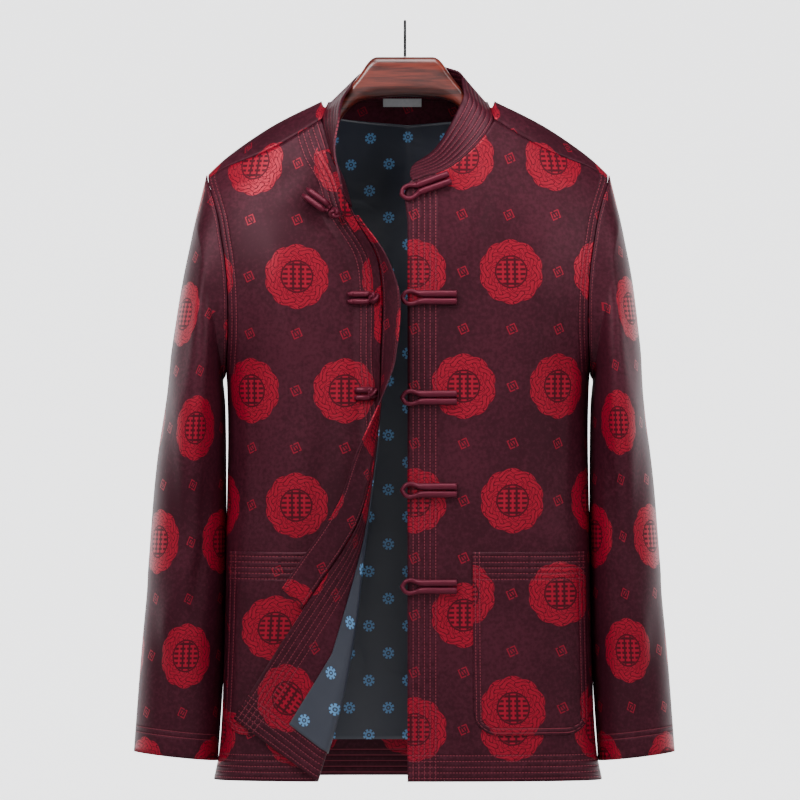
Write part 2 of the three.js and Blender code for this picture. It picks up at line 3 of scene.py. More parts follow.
import bpy
import numpy as np
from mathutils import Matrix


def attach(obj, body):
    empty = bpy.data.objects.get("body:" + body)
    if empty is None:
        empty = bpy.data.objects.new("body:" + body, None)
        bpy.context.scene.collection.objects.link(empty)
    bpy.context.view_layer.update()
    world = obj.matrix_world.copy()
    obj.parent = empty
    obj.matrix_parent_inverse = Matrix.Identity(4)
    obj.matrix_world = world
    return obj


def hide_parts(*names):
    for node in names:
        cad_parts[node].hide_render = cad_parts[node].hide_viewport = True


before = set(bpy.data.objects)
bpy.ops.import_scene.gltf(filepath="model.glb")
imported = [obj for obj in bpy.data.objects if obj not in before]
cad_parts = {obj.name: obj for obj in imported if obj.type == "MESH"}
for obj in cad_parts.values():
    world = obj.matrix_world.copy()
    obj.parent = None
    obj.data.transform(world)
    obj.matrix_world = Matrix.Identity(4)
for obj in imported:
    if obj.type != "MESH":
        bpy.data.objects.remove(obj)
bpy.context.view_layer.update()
print("frame loaded")

# Shapes are worked out in millimetres, in the jacket's own place, and put in the mesh in metres.
# Front is -Y, up is +Z, and the hook's bearing point is the origin.
jacketShift = np.array([3.3, 0, 0])
seamGap = 0.45


def table(columns, *rows):
    return dict(zip(columns.split(), np.array(rows, float).T))


# A table's column at values of its first column, by a cubic through its rows.
def along(rows, column, at):
    keys = next(iter(rows.values()))
    values = rows[column]
    at = np.clip(at, keys[0], keys[-1])
    i = np.clip(np.searchsorted(keys, at) - 1, 0, len(keys) - 2)
    before = np.maximum(np.arange(len(keys)) - 1, 0)
    after = np.minimum(np.arange(len(keys)) + 1, len(keys) - 1)
    slope = (values[after] - values[before]) / (keys[after] - keys[before])
    step = keys[i + 1] - keys[i]
    t = (at - keys[i]) / step
    rise = t * t * (3 - 2 * t)
    bend = t * (1 - t) * step * ((1 - t) * slope[i] - t * slope[i + 1])
    return values[i] + (values[i + 1] - values[i]) * rise + bend


def mix(a, b, t):
    return a + (b - a) * t


ridge = table("x z", (0, -28), (40, -54), (70, -72), (95, -86), (125, -100.5), (150, -114),
              (176, -131), (200, -149), (218, -166), (240, -190))
shoulderSeam = table("x drop", (90, 20), (125, 25), (150, 25), (175, 19), (200, 10), (222, 3))
sections = table("z halfWidth front back", (-824, 211.6, 78, 70), (-795, 206, 79, 71),
                 (-735, 202, 82, 73), (-575, 198.5, 88, 79), (-386, 198, 90, 82),
                 (-340, 212, 90, 82), (-290, 228, 88, 81), (-230, 240, 85, 80),
                 (-172, 248, 81, 79), (-80, 252, 80, 78))
armhole = table("z x", (-386, 198), (-340, 195), (-290, 195.5), (-257, 198.5), (-233, 202.5),
                (-213, 206), (-195, 211), (-172, 218.5), (-164, 219))
# The roll of the right front's edge: its start, radius, turn, climb, cloth up to the edge, the
# turn and width of the underlap beyond it, and how far the panel sinks before it.
roll = table("z start radius turn lift reach strip width dip",
             (-824, -104, 6, 184, 36, 124, 184, 31.5, 0), (-779, -90.7, 6.5, 179, 38, 113, 182, 31.5, 0),
             (-735, -79.5, 7, 172, 39, 101, 180, 31.5, 0), (-692, -71.5, 7.5, 163, 42, 87, 180, 31.5, 0),
             (-649, -65, 8, 150, 44, 72, 180, 31.5, 0), (-606, -61, 9, 125, 44, 58, 175, 31.5, 0),
             (-563, -57.5, 11, 100, 42, 49, 160, 31.5, 0), (-519, -55, 14, 90, 35, 45, 142, 31.5, 2),
             (-465, -52.6, 18, 88, 20, 40, 112, 31.5, 6), (-411, -55, 26, 80, 8, 37, 84, 31.5, 12),
             (-368, -58.5, 34, 62, 0, 36.8, 62, 31.5, 16), (-303, -60, 42, 52, 0, 38, 54, 31.5, 20),
             (-256, -67, 45, 50, 0, 39, 56, 16, 20), (-208, -95, 60, 35, 0, 37, 50, 5, 18),
             (-174, -96, 51, 30, 0, 27, 50, 5, 14), (-143, -98, 40, 20, 0, 14, 50, 5, 8),
             (-112, -98, 30, 8, 0, 4, 50, 5, 2), (-100, -98, 30, 8, 0, 3.6, 50, 5, 2))


def ridgeAt(x):
    return along(ridge, "z", np.abs(x))


def seamAt(x):
    return ridgeAt(x) - along(shoulderSeam, "drop", np.abs(x))


# Fullness: a rounded-square section across, times a curve that fills out below the ridge.
def fullness(x, z):
    drop = np.clip((ridgeAt(x) - z) / 200, 0, 1)
    across = np.abs(x) / along(sections, "halfWidth", z)
    return np.clip(1 - across**3, 0, 1) ** (1 / 3) * (1 - (1 - drop) ** 2) ** 0.6


def frontY(x, z):
    return -along(sections, "front", z) * fullness(x, z)


def backY(x, z):
    return along(sections, "back", z) * fullness(x, z)


# Unit normals of a grid of points, on the side of the given direction at its middle.
def normalsOf(points, outward, closed=False):
    over = (np.roll(points, -1, 1) - np.roll(points, 1, 1)) if closed else np.gradient(points, axis=1)
    normal = np.cross(np.gradient(points, axis=0), over)
    normal /= np.linalg.norm(normal, axis=2, keepdims=True) + 1e-9
    middle = normal[points.shape[0] // 2, points.shape[1] // 2]
    return normal if middle @ np.array(outward, float) > 0 else -normal


# Soft folds: each is a line in x and z with a width and a height along the normal, fading out
# towards its ends: height times exp(-(distance / width) squared).
def folded(points, outward, folds, closed=False):
    normal = normalsOf(points, outward, closed)
    x, z = points[..., 0], points[..., 2]
    height = np.zeros_like(x)
    for x0, z0, x1, z1, width, rise in folds:
        length = math.hypot(x1 - x0, z1 - z0)
        t = ((x - x0) * (x1 - x0) + (z - z0) * (z1 - z0)) / length**2
        off = ((x - x0) * (z1 - z0) - (z - z0) * (x1 - x0)) / length
        fade = np.clip(1 - np.abs(2 * t - 1) ** 3, 0, 1)
        height += rise * fade * np.exp(-((off / width) ** 2)) * (np.abs(t - 0.5) < 0.5)
    return points + normal * height[..., None]


def arcLength(points, axis):
    step = np.linalg.norm(np.diff(points, axis=axis), axis=2)
    pad = [(0, 0), (0, 0)]
    pad[axis] = (1, 0)
    return np.cumsum(np.pad(step, pad), axis=axis)


# A mesh of quads with UV maps in millimetres of cloth. The rim's faces are flat.
def makeMesh(name, vertices, faces, maps=None, inner=None, flatFaces=None):
    mesh = bpy.data.meshes.new(name)
    mesh.from_pydata((vertices / 1000).tolist(), [], faces.tolist())
    smooth = np.ones(len(faces), bool)
    if flatFaces is not None:
        smooth[flatFaces] = False
    mesh.polygons.foreach_set("use_smooth", smooth)
    for label, corners in (maps or {}).items():
        mesh.uv_layers.new(name=label).data.foreach_set("uv", corners.ravel())
    if inner is not None:
        mesh.polygons.foreach_set("material_index", inner)
    piece = bpy.data.objects.new(name, mesh)
    bpy.context.collection.objects.link(piece)
    return piece


# A wall of cloth on a grid: the outer face is lifted along the normals, and the inner one lies
# a wall's thickness below it. Maps are grids of cloth coordinates, one column more if closed.
def clothWall(name, points, outward, maps, wall=1.4, lift=0.0, closed=False):
    rows, columns = points.shape[:2]
    normal = normalsOf(points, outward, closed)
    outer = points + normal * lift
    vertices = np.concatenate([outer.reshape(-1, 3), (outer - normal * wall).reshape(-1, 3)]) + jacketShift
    layer = rows * columns
    r, c = np.meshgrid(np.arange(rows - 1), np.arange(columns if closed else columns - 1), indexing="ij")

    def corner(side, row, column):
        width = columns + 1 if closed else columns
        return np.stack([side * layer + row * columns + column % columns, row * width + column], -1)

    def quad(*corners):
        return np.stack(corners, -2).reshape(-1, 4, 2)

    outside = quad(corner(0, r, c), corner(0, r, c + 1), corner(0, r + 1, c + 1), corner(0, r + 1, c))
    inside = outside[:, ::-1] + [layer, 0]
    c0, last = c[0], rows - 1
    rim = [
        quad(corner(1, 0 * c0, c0), corner(1, 0 * c0, c0 + 1), corner(0, 0 * c0, c0 + 1), corner(0, 0 * c0, c0)),
        quad(corner(1, last + 0 * c0, c0 + 1), corner(1, last + 0 * c0, c0),
             corner(0, last + 0 * c0, c0), corner(0, last + 0 * c0, c0 + 1)),
    ]
    if not closed:
        r0, end = r[:, 0], columns - 1
        rim += [
            quad(corner(0, r0, 0 * r0), corner(0, r0 + 1, 0 * r0), corner(1, r0 + 1, 0 * r0), corner(1, r0, 0 * r0)),
            quad(corner(0, r0 + 1, end + 0 * r0), corner(0, r0, end + 0 * r0),
                 corner(1, r0, end + 0 * r0), corner(1, r0 + 1, end + 0 * r0)),
        ]
    faces = np.concatenate([outside, inside, *rim])
    probe = len(outside) // 2
    a, b, d = (vertices[faces[probe, k, 0]] for k in (0, 1, 3))
    if np.cross(b - a, d - a) @ normal.reshape(-1, 3)[faces[probe, 0, 0]] < 0:
        faces = faces[:, ::-1]
    number = np.arange(len(faces))
    inner = ((number >= len(outside)) & (number < 2 * len(outside))).astype(int)
    corners = {label: grid.reshape(-1, 2)[faces[..., 1]] for label, grid in maps.items()}
    return makeMesh(name, vertices, faces[..., 0], corners, inner, number >= 2 * len(outside))


def pairs(a, b):
    return np.stack(np.broadcast_arrays(a, b), -1).astype(float)


# A tube of one or more radii along a path: rings of equal sides square to the path. It may be
# wider along one direction than along the other. Capped unless it closes on itself.
def tube(name, path, radius, sides=16, shift=jacketShift, closed=False, flatten=None, up=(0, -1, 0.01)):
    path = np.array(path, float)
    if closed:
        forward = np.roll(path, -1, 0) - np.roll(path, 1, 0)
    else:
        forward = np.gradient(path, axis=0)
    forward /= np.linalg.norm(forward, axis=1, keepdims=True)
    side = np.cross(forward, np.array(up, float))
    side /= np.linalg.norm(side, axis=1, keepdims=True)
    other = np.cross(side, forward)
    angle = np.linspace(0, 2 * np.pi, sides, endpoint=False)
    wide = np.broadcast_to(radius, len(path))[:, None, None]
    high = wide if flatten is None else np.broadcast_to(flatten, len(path))[:, None, None]
    rings = (path[:, None] + side[:, None] * np.cos(angle)[None, :, None] * wide
             + other[:, None] * np.sin(angle)[None, :, None] * high)
    run = np.concatenate([[0], np.cumsum(np.linalg.norm(np.diff(path, axis=0), axis=1))])
    count = len(path)
    r, c = np.meshgrid(np.arange(count if closed else count - 1), np.arange(sides), indexing="ij")
    below, above, nextOne = r * sides, ((r + 1) % count) * sides, (c + 1) % sides
    faces = np.stack([below + c, below + nextOne, above + nextOne, above + c], -1).reshape(-1, 4)
    vertices = rings.reshape(-1, 3)
    rounds = np.mean(np.broadcast_to(radius, count)) * 2 * np.pi / sides
    maps = np.stack([np.stack([(c + k) * rounds, run[r] if j == 0 else run[np.minimum(r + 1, count - 1)]], -1)
                     for k, j in ((0, 0), (1, 0), (1, 1), (0, 1))], -2).reshape(-1, 4, 2)
    if not closed:
        start = len(vertices)
        vertices = np.concatenate([vertices, path[[0, -1]]])
        k = np.arange(0, sides, 2)
        firstCap = np.stack([0 * k + start, (k + 2) % sides, k + 1, k], -1)
        end = (count - 1) * sides
        lastCap = np.stack([0 * k + start + 1, end + k, end + k + 1, end + (k + 2) % sides], -1)
        faces = np.concatenate([faces, firstCap, lastCap])
        maps = np.concatenate([maps, np.zeros((2 * len(k), 4, 2))])
    a, b, d = vertices[faces[0, 0]], vertices[faces[0, 1]], vertices[faces[0, 3]]
    if np.cross(b - a, d - a) @ (a - path[0]) < 0:
        faces, maps = faces[:, ::-1], maps[:, ::-1]
    return makeMesh(name, vertices + shift, faces, {"cloth": maps})


def joined(name, *pieces):
    bpy.ops.object.select_all(action="DESELECT")
    for piece in pieces:
        piece.select_set(True)
    bpy.context.view_layer.objects.active = pieces[0]
    bpy.ops.object.join()
    pieces[0].name = name
    return pieces[0]


# One output socket of a shader node, with arithmetic that adds Math nodes.
class Signal:
    def __init__(self, shader, socket):
        self.shader = shader
        self.socket = socket

    def math(self, operation, *others):
        return self.shader.node("ShaderNodeMath", {"operation": operation}, [self, *others])

    def __add__(self, other):
        return self.math("ADD", other)

    def __sub__(self, other):
        return self.math("SUBTRACT", other)

    def __mul__(self, other):
        return self.math("MULTIPLY", other)

    def __truediv__(self, other):
        return self.math("DIVIDE", other)

    def __rsub__(self, other):
        return self.shader.node("ShaderNodeMath", {"operation": "SUBTRACT"}, [other, self])

    __radd__ = __add__
    __rmul__ = __mul__


# A material's node tree.
class Shader:
    def __init__(self, name):
        self.material = bpy.data.materials.new(name)
        self.material.use_nodes = True
        self.nodes = self.material.node_tree.nodes
        self.nodes.clear()

    def node(self, kind, settings=None, sockets=(), output=0):
        made = self.nodes.new(kind)
        for key, value in (settings or {}).items():
            if key == "stops":
                for stop, (at, color) in zip(made.color_ramp.elements, value):
                    stop.position, stop.color = at, (*color, 1)
            else:
                setattr(made, key, value)
        for key, value in sockets.items() if isinstance(sockets, dict) else enumerate(sockets):
            if isinstance(value, Signal):
                self.material.node_tree.links.new(value.socket, made.inputs[key])
            else:
                made.inputs[key].default_value = value
        return Signal(self, made.outputs[output] if len(made.outputs) else None)

    # From 0 at the low value to 1 at the high one, with a soft start and end.
    def step(self, value, low, high):
        return self.node("ShaderNodeMapRange", {"interpolation_type": "SMOOTHSTEP"},
                         {0: value, 1: low, 2: high, 3: 0.0, 4: 1.0})

    def mixed(self, factor, a, b):
        a, b = ((*v, 1) if isinstance(v, tuple) else v for v in (a, b))
        return self.node("ShaderNodeMix", {"data_type": "RGBA"}, {0: factor, 6: a, 7: b}, 2)

    def parts(self, vector):
        return [self.node("ShaderNodeSeparateXYZ", sockets=[vector], output=k) for k in range(3)]

    def uv(self, name):
        return self.parts(self.node("ShaderNodeUVMap", {"uv_map": name}))[:2]

    def objectPlace(self):
        return self.node("ShaderNodeTexCoord", output=3)

    def finish(self, **sockets):
        named = {key: value for key, value in sockets.items()}
        surface = self.node("ShaderNodeBsdfPrincipled", sockets={
            {"baseColor": "Base Color", "sheenWeight": "Sheen Weight", "sheenTint": "Sheen Tint",
             "sheenRoughness": "Sheen Roughness", "coatWeight": "Coat Weight",
             "coatRoughness": "Coat Roughness", "specular": "Specular IOR Level",
             "emissionColor": "Emission Color", "emissionStrength": "Emission Strength"}.get(key, key.capitalize()): value
            for key, value in named.items()})
        self.node("ShaderNodeOutputMaterial", sockets=[surface])
        return self.material


# A panel's inner edge, rows and shoulder. Rows keep one height low down and slope near the neck.
leftRows = table("row outer inner innerX",
                 *[(i, z, z, -0.6) for i, z in enumerate((-824, -794, -774, -731, -690, -649, -606, -575.6,
                                                          -519, -465, -425, -386))],
                 (12, -345, -325, -0.6), (13, -300, -270, -0.6), (14, -262, -222, -0.6),
                 (15, -232, -178.2, -0.6), (16, -210, -162, 40), (17, -192, -143.6, 64.7), (18, -180, -126, 82))
rightRows = table("row outer inner",
                  *[(i, z, z) for i, z in enumerate((-824, -794, -774, -731, -690, -649, -606, -575.6,
                                                     -519, -465, -425, -386))],
                  (12, -345, -335), (13, -300, -290), (14, -262, -250), (15, -232, -208),
                  (16, -210, -174), (17, -188, -143))
shoulderTip = 217.8
neckShare = 0.433  # the neck's half width, out of the shoulder tip's distance
across = np.linspace(0, 1, 72) ** 1.35  # from the side to the front edge


def sideAt(z):
    return np.where(z > -386, along(armhole, "x", z), along(sections, "halfWidth", z))


# Front grid: x and z run straight from the side to the inner edge, and y is the body's section.
def leftPlace(row, share):
    outer, inner = along(leftRows, "outer", row), along(leftRows, "inner", row)
    x = mix(sideAt(outer), along(leftRows, "innerX", row), share)
    return x, mix(outer, inner, share)


leftCloth = {"rows": 150, "shoulderRows": 9}
row = np.linspace(0, 18, leftCloth["rows"])[:, None]
x, z = leftPlace(row, across[None])
topX = shoulderTip * (1 - across * (1 - neckShare))
blend = np.linspace(0, 1, leftCloth["shoulderRows"] + 1)[1:, None]
x = np.concatenate([x, mix(x[-1], topX, blend)])
z = np.concatenate([z, mix(z[-1], seamAt(topX) - 0.45, blend)])
leftPoints = np.stack([x, np.minimum(frontY(x, z), -seamGap), z], -1)


# A panel's cloth coordinates: millimetres from its inner edge along the rows, and height.
def panelCloth(points, sign):
    run = arcLength(points, 1)
    return pairs(sign * (run[:, -1:] - run) + points[:, -1:, 0], points[..., 2])


leftFolds = [(150, -215, 118, -430, 16, 2.0), (176, -260, 160, -560, 13, -2.4), (95, -190, 100, -420, 20, -1.6),
             (60, -300, 66, -560, 22, 1.4), (128, -330, 120, -570, 15, 2.2), (188, -400, 180, -560, 9, -2.6),
             (30, -430, 34, -620, 14, -1.2), (110, -150, 160, -200, 14, -1.6), (90, -160, 60, -260, 12, 1.6),
             (40, -640, 44, -800, 14, -2.0), (62, -700, 66, -824, 10, 2.2)]
leftMain = folded(leftPoints, (0, -1, 0), leftFolds)
leftSeams = pairs(leftPoints[..., 0] - 0.6, leftPoints[..., 2] + 824)
armDistance = sideAt(leftPoints[..., 2]) - leftPoints[..., 0]
armSide = pairs(np.where(leftPoints[..., 2] > -386, armDistance, 400), leftPoints[..., 2])
frontLeft = clothWall("frontLeft", leftMain, (0, -1, 0),
                      {"cloth": panelCloth(leftPoints, 1), "seam": leftSeams, "arm": armSide})
print("left front made")


# The rolled edge of the right front: along the cloth the heading turns at one over the radius up
# to the full turn, and on past the closing edge to the strip's own turn. The place is the sum of
# the steps, with the distance off the body's section measured along -Y.
def rolledEdge(z, cloth):
    def value(column):
        return along(roll, column, z)[:, None]
    turn, strip, lift = (np.radians(value(c)) for c in ("turn", "strip", "lift"))
    radius, reach = value("radius"), value("reach")
    here = (cloth[:, 1:] + cloth[:, :-1]) / 2
    step = np.diff(cloth, axis=1)
    past = np.clip((here - reach) / 10, 0, 1)
    heading = np.minimum(here / radius, turn) + past * (strip - np.minimum(reach / radius, turn))
    climb = lift * np.clip(heading / turn, 0, 1)

    def walked(start, moves):
        return np.concatenate([start, start + np.cumsum(moves * step, axis=1)], axis=1)
    x = walked(value("start"), np.cos(heading) * np.cos(climb))
    gap = walked(-value("dip"), np.sin(heading) * np.cos(climb))
    up = walked(z[:, None], np.sin(climb))
    return np.stack([x, frontY(x, up) - gap, up], -1)


# How far the facing starts past the roll's start.
def facingStart(z):
    reach = along(roll, "reach", z)
    bend = np.minimum(along(roll, "radius", z) * np.radians(along(roll, "turn", z)), 0.6 * reach)
    return np.maximum(reach - 52, mix(bend, reach, 0.25))


rightCloth = {"rows": 150, "shoulderRows": 8, "liningColumns": 34, "facingColumns": 18}
row = np.linspace(0, 17, rightCloth["rows"])
outer, inner = along(rightRows, "outer", row), along(rightRows, "inner", row)
start, dip = along(roll, "start", inner)[:, None], along(roll, "dip", inner)[:, None]
x = mix(-sideAt(outer)[:, None], start, across[None])
z = mix(outer[:, None], inner[:, None], across[None])
main = np.stack([x, np.minimum(frontY(x, z) + dip * across**2, -seamGap), z], -1)
share = np.linspace(0, 1, rightCloth["liningColumns"])
facingShare = np.linspace(0, 1, rightCloth["facingColumns"] + 1)[1:]
facingFrom, reach = facingStart(inner)[:, None], along(roll, "reach", inner)[:, None]
clothRun = np.concatenate([facingFrom * share, mix(facingFrom, reach, facingShare)], axis=1)
rightPoints = np.concatenate([main, rolledEdge(inner, clothRun)[:, 1:]], axis=1)
columns = rightPoints.shape[1]
topStart, neckEnd = -98.0, -94.6
topX = np.concatenate([mix(-shoulderTip, topStart, across), mix(topStart, neckEnd, np.linspace(0, 1, columns - len(across) + 1)[1:])])
topZ = seamAt(topX) - 0.45
top = np.stack([topX, frontY(topX, topZ), topZ], -1)
blend = np.linspace(0, 1, rightCloth["shoulderRows"] + 1)[1:, None, None]
rightAll = np.concatenate([rightPoints, mix(rightPoints[-1], top, blend)])
rightFolds = [(-150, -215, -120, -430, 16, 2.0), (-178, -260, -164, -560, 13, -2.4), (-100, -180, -106, -420, 18, -1.8),
              (-132, -300, -126, -560, 15, 2.4), (-84, -330, -92, -560, 13, -1.8), (-188, -400, -182, -560, 9, -2.4),
              (-112, -420, -116, -600, 12, 1.6), (-110, -150, -160, -200, 14, -1.6)]
rightMain = folded(rightAll, (0, -1, 0), rightFolds)
rightRun = arcLength(rightAll, 1)
startRun = rightRun[:, len(across) - 1:len(across)]
startX = rightAll[:, len(across) - 1:len(across), 0]
rowHeight = np.broadcast_to(np.concatenate([inner, np.full(rightCloth["shoulderRows"], -120.0)])[:, None], rightRun.shape)
clothHeight = np.where(np.arange(columns) < len(across), rightAll[..., 2], rowHeight)
rightMap = pairs(rightRun - startRun + startX, clothHeight)
rightSeams = pairs(rightRun[:, -1:] - rightRun, clothHeight + 824)
armDistance = sideAt(rightAll[..., 2]) + rightAll[..., 0]
armMap = pairs(np.where((rightAll[..., 2] > -386) & (np.arange(columns) < len(across)), armDistance, 400), clothHeight)
frontRight = clothWall("frontRight", rightMain, (0, -1, 0), {"cloth": rightMap, "seam": rightSeams, "arm": armMap})

# The lining and facing end a hem's depth above the hem, below the shell by its wall and a gap.
skin = {"lift": -1.9, "wall": 1.0, "hem": 30}
low = int(np.argmin(np.abs(inner + 824 - skin["hem"])))
facingColumn = len(across) + rightCloth["liningColumns"] - 2
liningRows, facingRows = slice(low, rightCloth["rows"]), slice(low, rightCloth["rows"])


def skinPiece(name, columns, outward=(0, -1, 0)):
    maps = {"cloth": rightMap[liningRows, columns], "seam": rightSeams[liningRows, columns]}
    return clothWall(name, rightMain[liningRows, columns], outward, maps, skin["wall"], skin["lift"])


liningRight = skinPiece("liningRight", slice(0, facingColumn))
facingRight = skinPiece("facingRight", slice(facingColumn, columns))
print("right front made")


# The underlap strip goes on round the same roll past the closing edge, set off by a hairline.
stripRows = np.linspace(-687, -212, 110)
reach = along(roll, "reach", stripRows)[:, None]
width = np.minimum(along(roll, "width", stripRows), 31.5)[:, None]
first = reach + 0.9 + 0.02 * width
stripRun = np.concatenate([np.linspace(0, 1, 40) * first, first + width * 0.98 * np.linspace(0, 1, 16)[1:]], axis=1)
stripPoints = rolledEdge(stripRows, stripRun)[:, 39:]
stripAcross = stripRun[:, 39:] - first
underlap = clothWall("underlap", stripPoints, (0, -1, 0),
                     {"cloth": pairs(stripAcross - 60, stripRows[:, None]), "seam": pairs(stripAcross, stripRows[:, None] + 824)})


# The back: flat rows up to the armholes, then rows that pass over the ridge to the front seams.
# The root of the drop below the ridge runs evenly, and is negative on the front side.
backRows = {"low": 90, "arch": 56}
half = np.concatenate([np.linspace(1, 0.98, 5), np.linspace(0.975, neckShare, 44)])
neck = np.linspace(0.4, -0.4, 37)
backColumns = np.concatenate([-half, -neck, half[::-1]])
lowZ = np.linspace(-824, -386, backRows["low"])[:, None]
lowX = backColumns * along(sections, "halfWidth", lowZ)
lowBack = np.stack([lowX, np.maximum(backY(lowX, lowZ), seamGap), np.broadcast_to(lowZ, lowX.shape)], -1)


overShoulder = np.abs(backColumns) > 0.42


def archRoot(x, t):
    neckDrop = ridgeAt(x) - mix(-82, -86, (x / 87) ** 2)
    end = np.where(overShoulder, -np.sqrt(ridgeAt(x) - seamAt(x)), np.sqrt(np.maximum(neckDrop, 0.3)))
    return mix(np.sqrt(ridgeAt(x) + 386), end, t)


archT = np.linspace(0, 1, backRows["arch"] + 1)[1:, None]
sideX = np.full_like(archT, 200.0)
for turn in range(8):
    sideX = along(armhole, "x", ridgeAt(sideX) - archRoot(sideX, archT)[:, :1] ** 2)
sideX = np.minimum(sideX, shoulderTip)
archX = backColumns * sideX
rootDrop = archRoot(archX, archT)
archZ = ridgeAt(archX) - rootDrop**2
archY = np.where(rootDrop > 0, backY(archX, archZ), frontY(archX, archZ))
backPoints = np.concatenate([lowBack, np.stack([archX, archY, archZ], -1)])
backFolds = [(-120, -200, -90, -460, 18, -2.2), (118, -200, 92, -470, 18, -2.4), (-60, -300, -66, -640, 20, 2.0),
             (58, -280, 70, -660, 20, 2.2), (-168, -330, -150, -600, 14, -2.4), (170, -320, 156, -620, 14, -2.2),
             (0, -150, 2, -360, 24, 1.6), (-150, -560, -156, -790, 14, 2.0), (140, -540, 150, -800, 14, 2.0)]
backMain = folded(backPoints, (0, 1, 0), backFolds)
run = arcLength(backPoints * [1, 1, 0], 1)
climbRun = arcLength(backPoints, 0)
backMap = pairs(run - run[:, run.shape[1] // 2][:, None], -824 + climbRun)
backSeams = pairs(np.full_like(run, 400.0), backPoints[..., 2] + 824)
back = clothWall("backPanel", backMain, (0, 1, 0), {"cloth": backMap, "seam": backSeams})
lowRow, highRow = int(np.argmin(np.abs(lowZ + 786))), len(backMain) - 8
liningBack = clothWall("liningBack", backMain[lowRow:highRow, 1:-1], (0, 1, 0),
                       {"cloth": backMap[lowRow:highRow, 1:-1], "seam": backSeams[lowRow:highRow, 1:-1]},
                       skin["wall"], skin["lift"])
print("back made")


# A sleeve: rings from the armhole down to the cuff, each an oval whose ends lie on the inner and
# outer lines, with a cubic from ring to ring.
sleeveTable = table("ring innerX innerZ outerX outerZ depth flare",
                    (1, 201, -389, 231, -212, 60, 0), (2, 201.3, -393, 244, -275, 68, 0.1),
                    (3, 200.4, -400, 253, -345, 72, 0.4), (4, 198.6, -428, 260, -418, 73, 0.8),
                    (5, 197.8, -505, 268, -500, 68, 1), (6, 198.2, -605, 276, -602, 60, 1),
                    (7, 200.8, -705, 284, -700, 53, 1), (8, 207, -804, 291, -794, 48, 1))
sleeveCloth = {"around": 96, "rows": 130, "leftFlare": 0, "rightFlare": 8, "armholeGap": 0.9}


def sleeve(name, side, flare, folds):
    angle = np.pi + np.linspace(0, 2 * np.pi, sleeveCloth["around"], endpoint=False)  # from the underarm
    out, forward = (1 + np.cos(angle)) / 2, np.sin(angle)
    firstZ = mix(-386, -166.5, out)
    firstX = along(armhole, "x", firstZ)
    firstY = np.where(forward > 0, frontY(firstX, firstZ), backY(firstX, firstZ)) * (np.abs(forward) > 0.01)
    first = np.stack([side * (firstX + sleeveCloth["armholeGap"]), firstY, firstZ], -1)
    ring = np.linspace(1, 8, sleeveCloth["rows"])[:, None]
    value = {c: along(sleeveTable, c, ring) for c in sleeveTable}
    x = mix(value["innerX"], value["outerX"] + flare * value["flare"], out)
    z = mix(value["innerZ"], value["outerZ"], out)
    rings = np.stack([side * x, -value["depth"] * forward + 0 * x, z], -1)
    cap = mix(first, rings[0], np.linspace(0, 1, 9)[:-1, None, None])
    points = np.concatenate([cap, rings])
    shaped = folded(points, (side, -1, 0.3), folds, True)
    wrapped = np.concatenate([points, points[:, :1]], axis=1)
    around = arcLength(wrapped, 1)
    middle = (np.linspace(0, 1, wrapped.shape[1])[None] - 0.5) * np.median(around[:, -1])
    down = arcLength(wrapped, 0)
    cuff = down[-1:] - down
    maps = {"cloth": pairs(side * middle + 0 * down, wrapped[..., 2]), "seam": pairs(down, cuff)}
    return clothWall(name, shaped, (side, -1, 0.3), maps, closed=True)


sleeveLeft = sleeve("sleeveLeft", 1, sleeveCloth["leftFlare"],
                    [(226, -230, 250, -420, 9, -3.0), (215, -300, 238, -520, 9, 2.6), (262, -360, 246, -600, 10, -2.6),
                     (222, -560, 262, -700, 11, 2.4), (274, -600, 256, -790, 10, -2.4), (212, -440, 230, -640, 9, -2.6)])
sleeveRight = sleeve("sleeveRight", -1, sleeveCloth["rightFlare"],
                     [(-226, -230, -252, -420, 9, -3.0), (-214, -300, -240, -520, 9, 2.8), (-266, -360, -248, -600, 10, -2.6),
                      (-224, -540, -268, -680, 11, 2.6), (-280, -600, -262, -790, 10, -2.4), (-212, -460, -232, -660, 9, -2.8)])
print("sleeves made")

# The collar stands on the neckline: the left front's edge, the back neck and the right front's
# edge, and leans by a table of its distance round.
collarLean = table("at x y z", (0, -4, 16, 8), (0.04, -14, 32, 14), (0.1, -20, 34, 19), (0.2, -30, 18, 28),
                   (0.3, -31, 2, 31), (0.42, -14, -14, 38), (0.5, 0, -21, 39), (0.58, 14, -14, 38),
                   (0.7, 31, 2, 31), (0.8, 19, -26, 20), (0.88, 1, -38, 6), (0.96, -6, -36, 4), (1, -5, -20, 6))
leftNeck = leftPoints[int(15 / 18 * leftCloth["rows"]):leftCloth["rows"], -1]
rightNeck = rightPoints[int(15 / 17 * rightCloth["rows"]):, -1][::-1]
neckline = np.concatenate([leftNeck, backPoints[-1, 48:-48][::-1], rightNeck])
walkedRun = np.concatenate([[0], np.cumsum(np.linalg.norm(np.diff(neckline, axis=0), axis=1))])
collarAt = np.linspace(0, 1, 180)
foot = np.stack([np.interp(collarAt * walkedRun[-1], walkedRun, neckline[:, k]) for k in range(3)], -1)
soft = np.ones(9) / 9
foot = np.stack([np.convolve(np.pad(foot[:, k], 4, mode="edge"), soft, "valid") for k in range(3)], -1)
lean = np.stack([along(collarLean, c, collarAt) for c in ("x", "y", "z")], -1)
leanLength = np.linalg.norm(lean, axis=1, keepdims=True)
share = np.linspace(0, 1, 20)[:, None, None]
roundEnd = 0.35 * (1 - np.sqrt(np.clip(1 - np.clip(1 - collarAt / 0.05, 0, 1) ** 2, 0, 1)))[None, :, None]
collarPoints = foot + lean * share * (1 - roundEnd) - lean / leanLength * 1.0
collarUp = share[..., 0] * leanLength[:, 0] * (1 - roundEnd[..., 0])
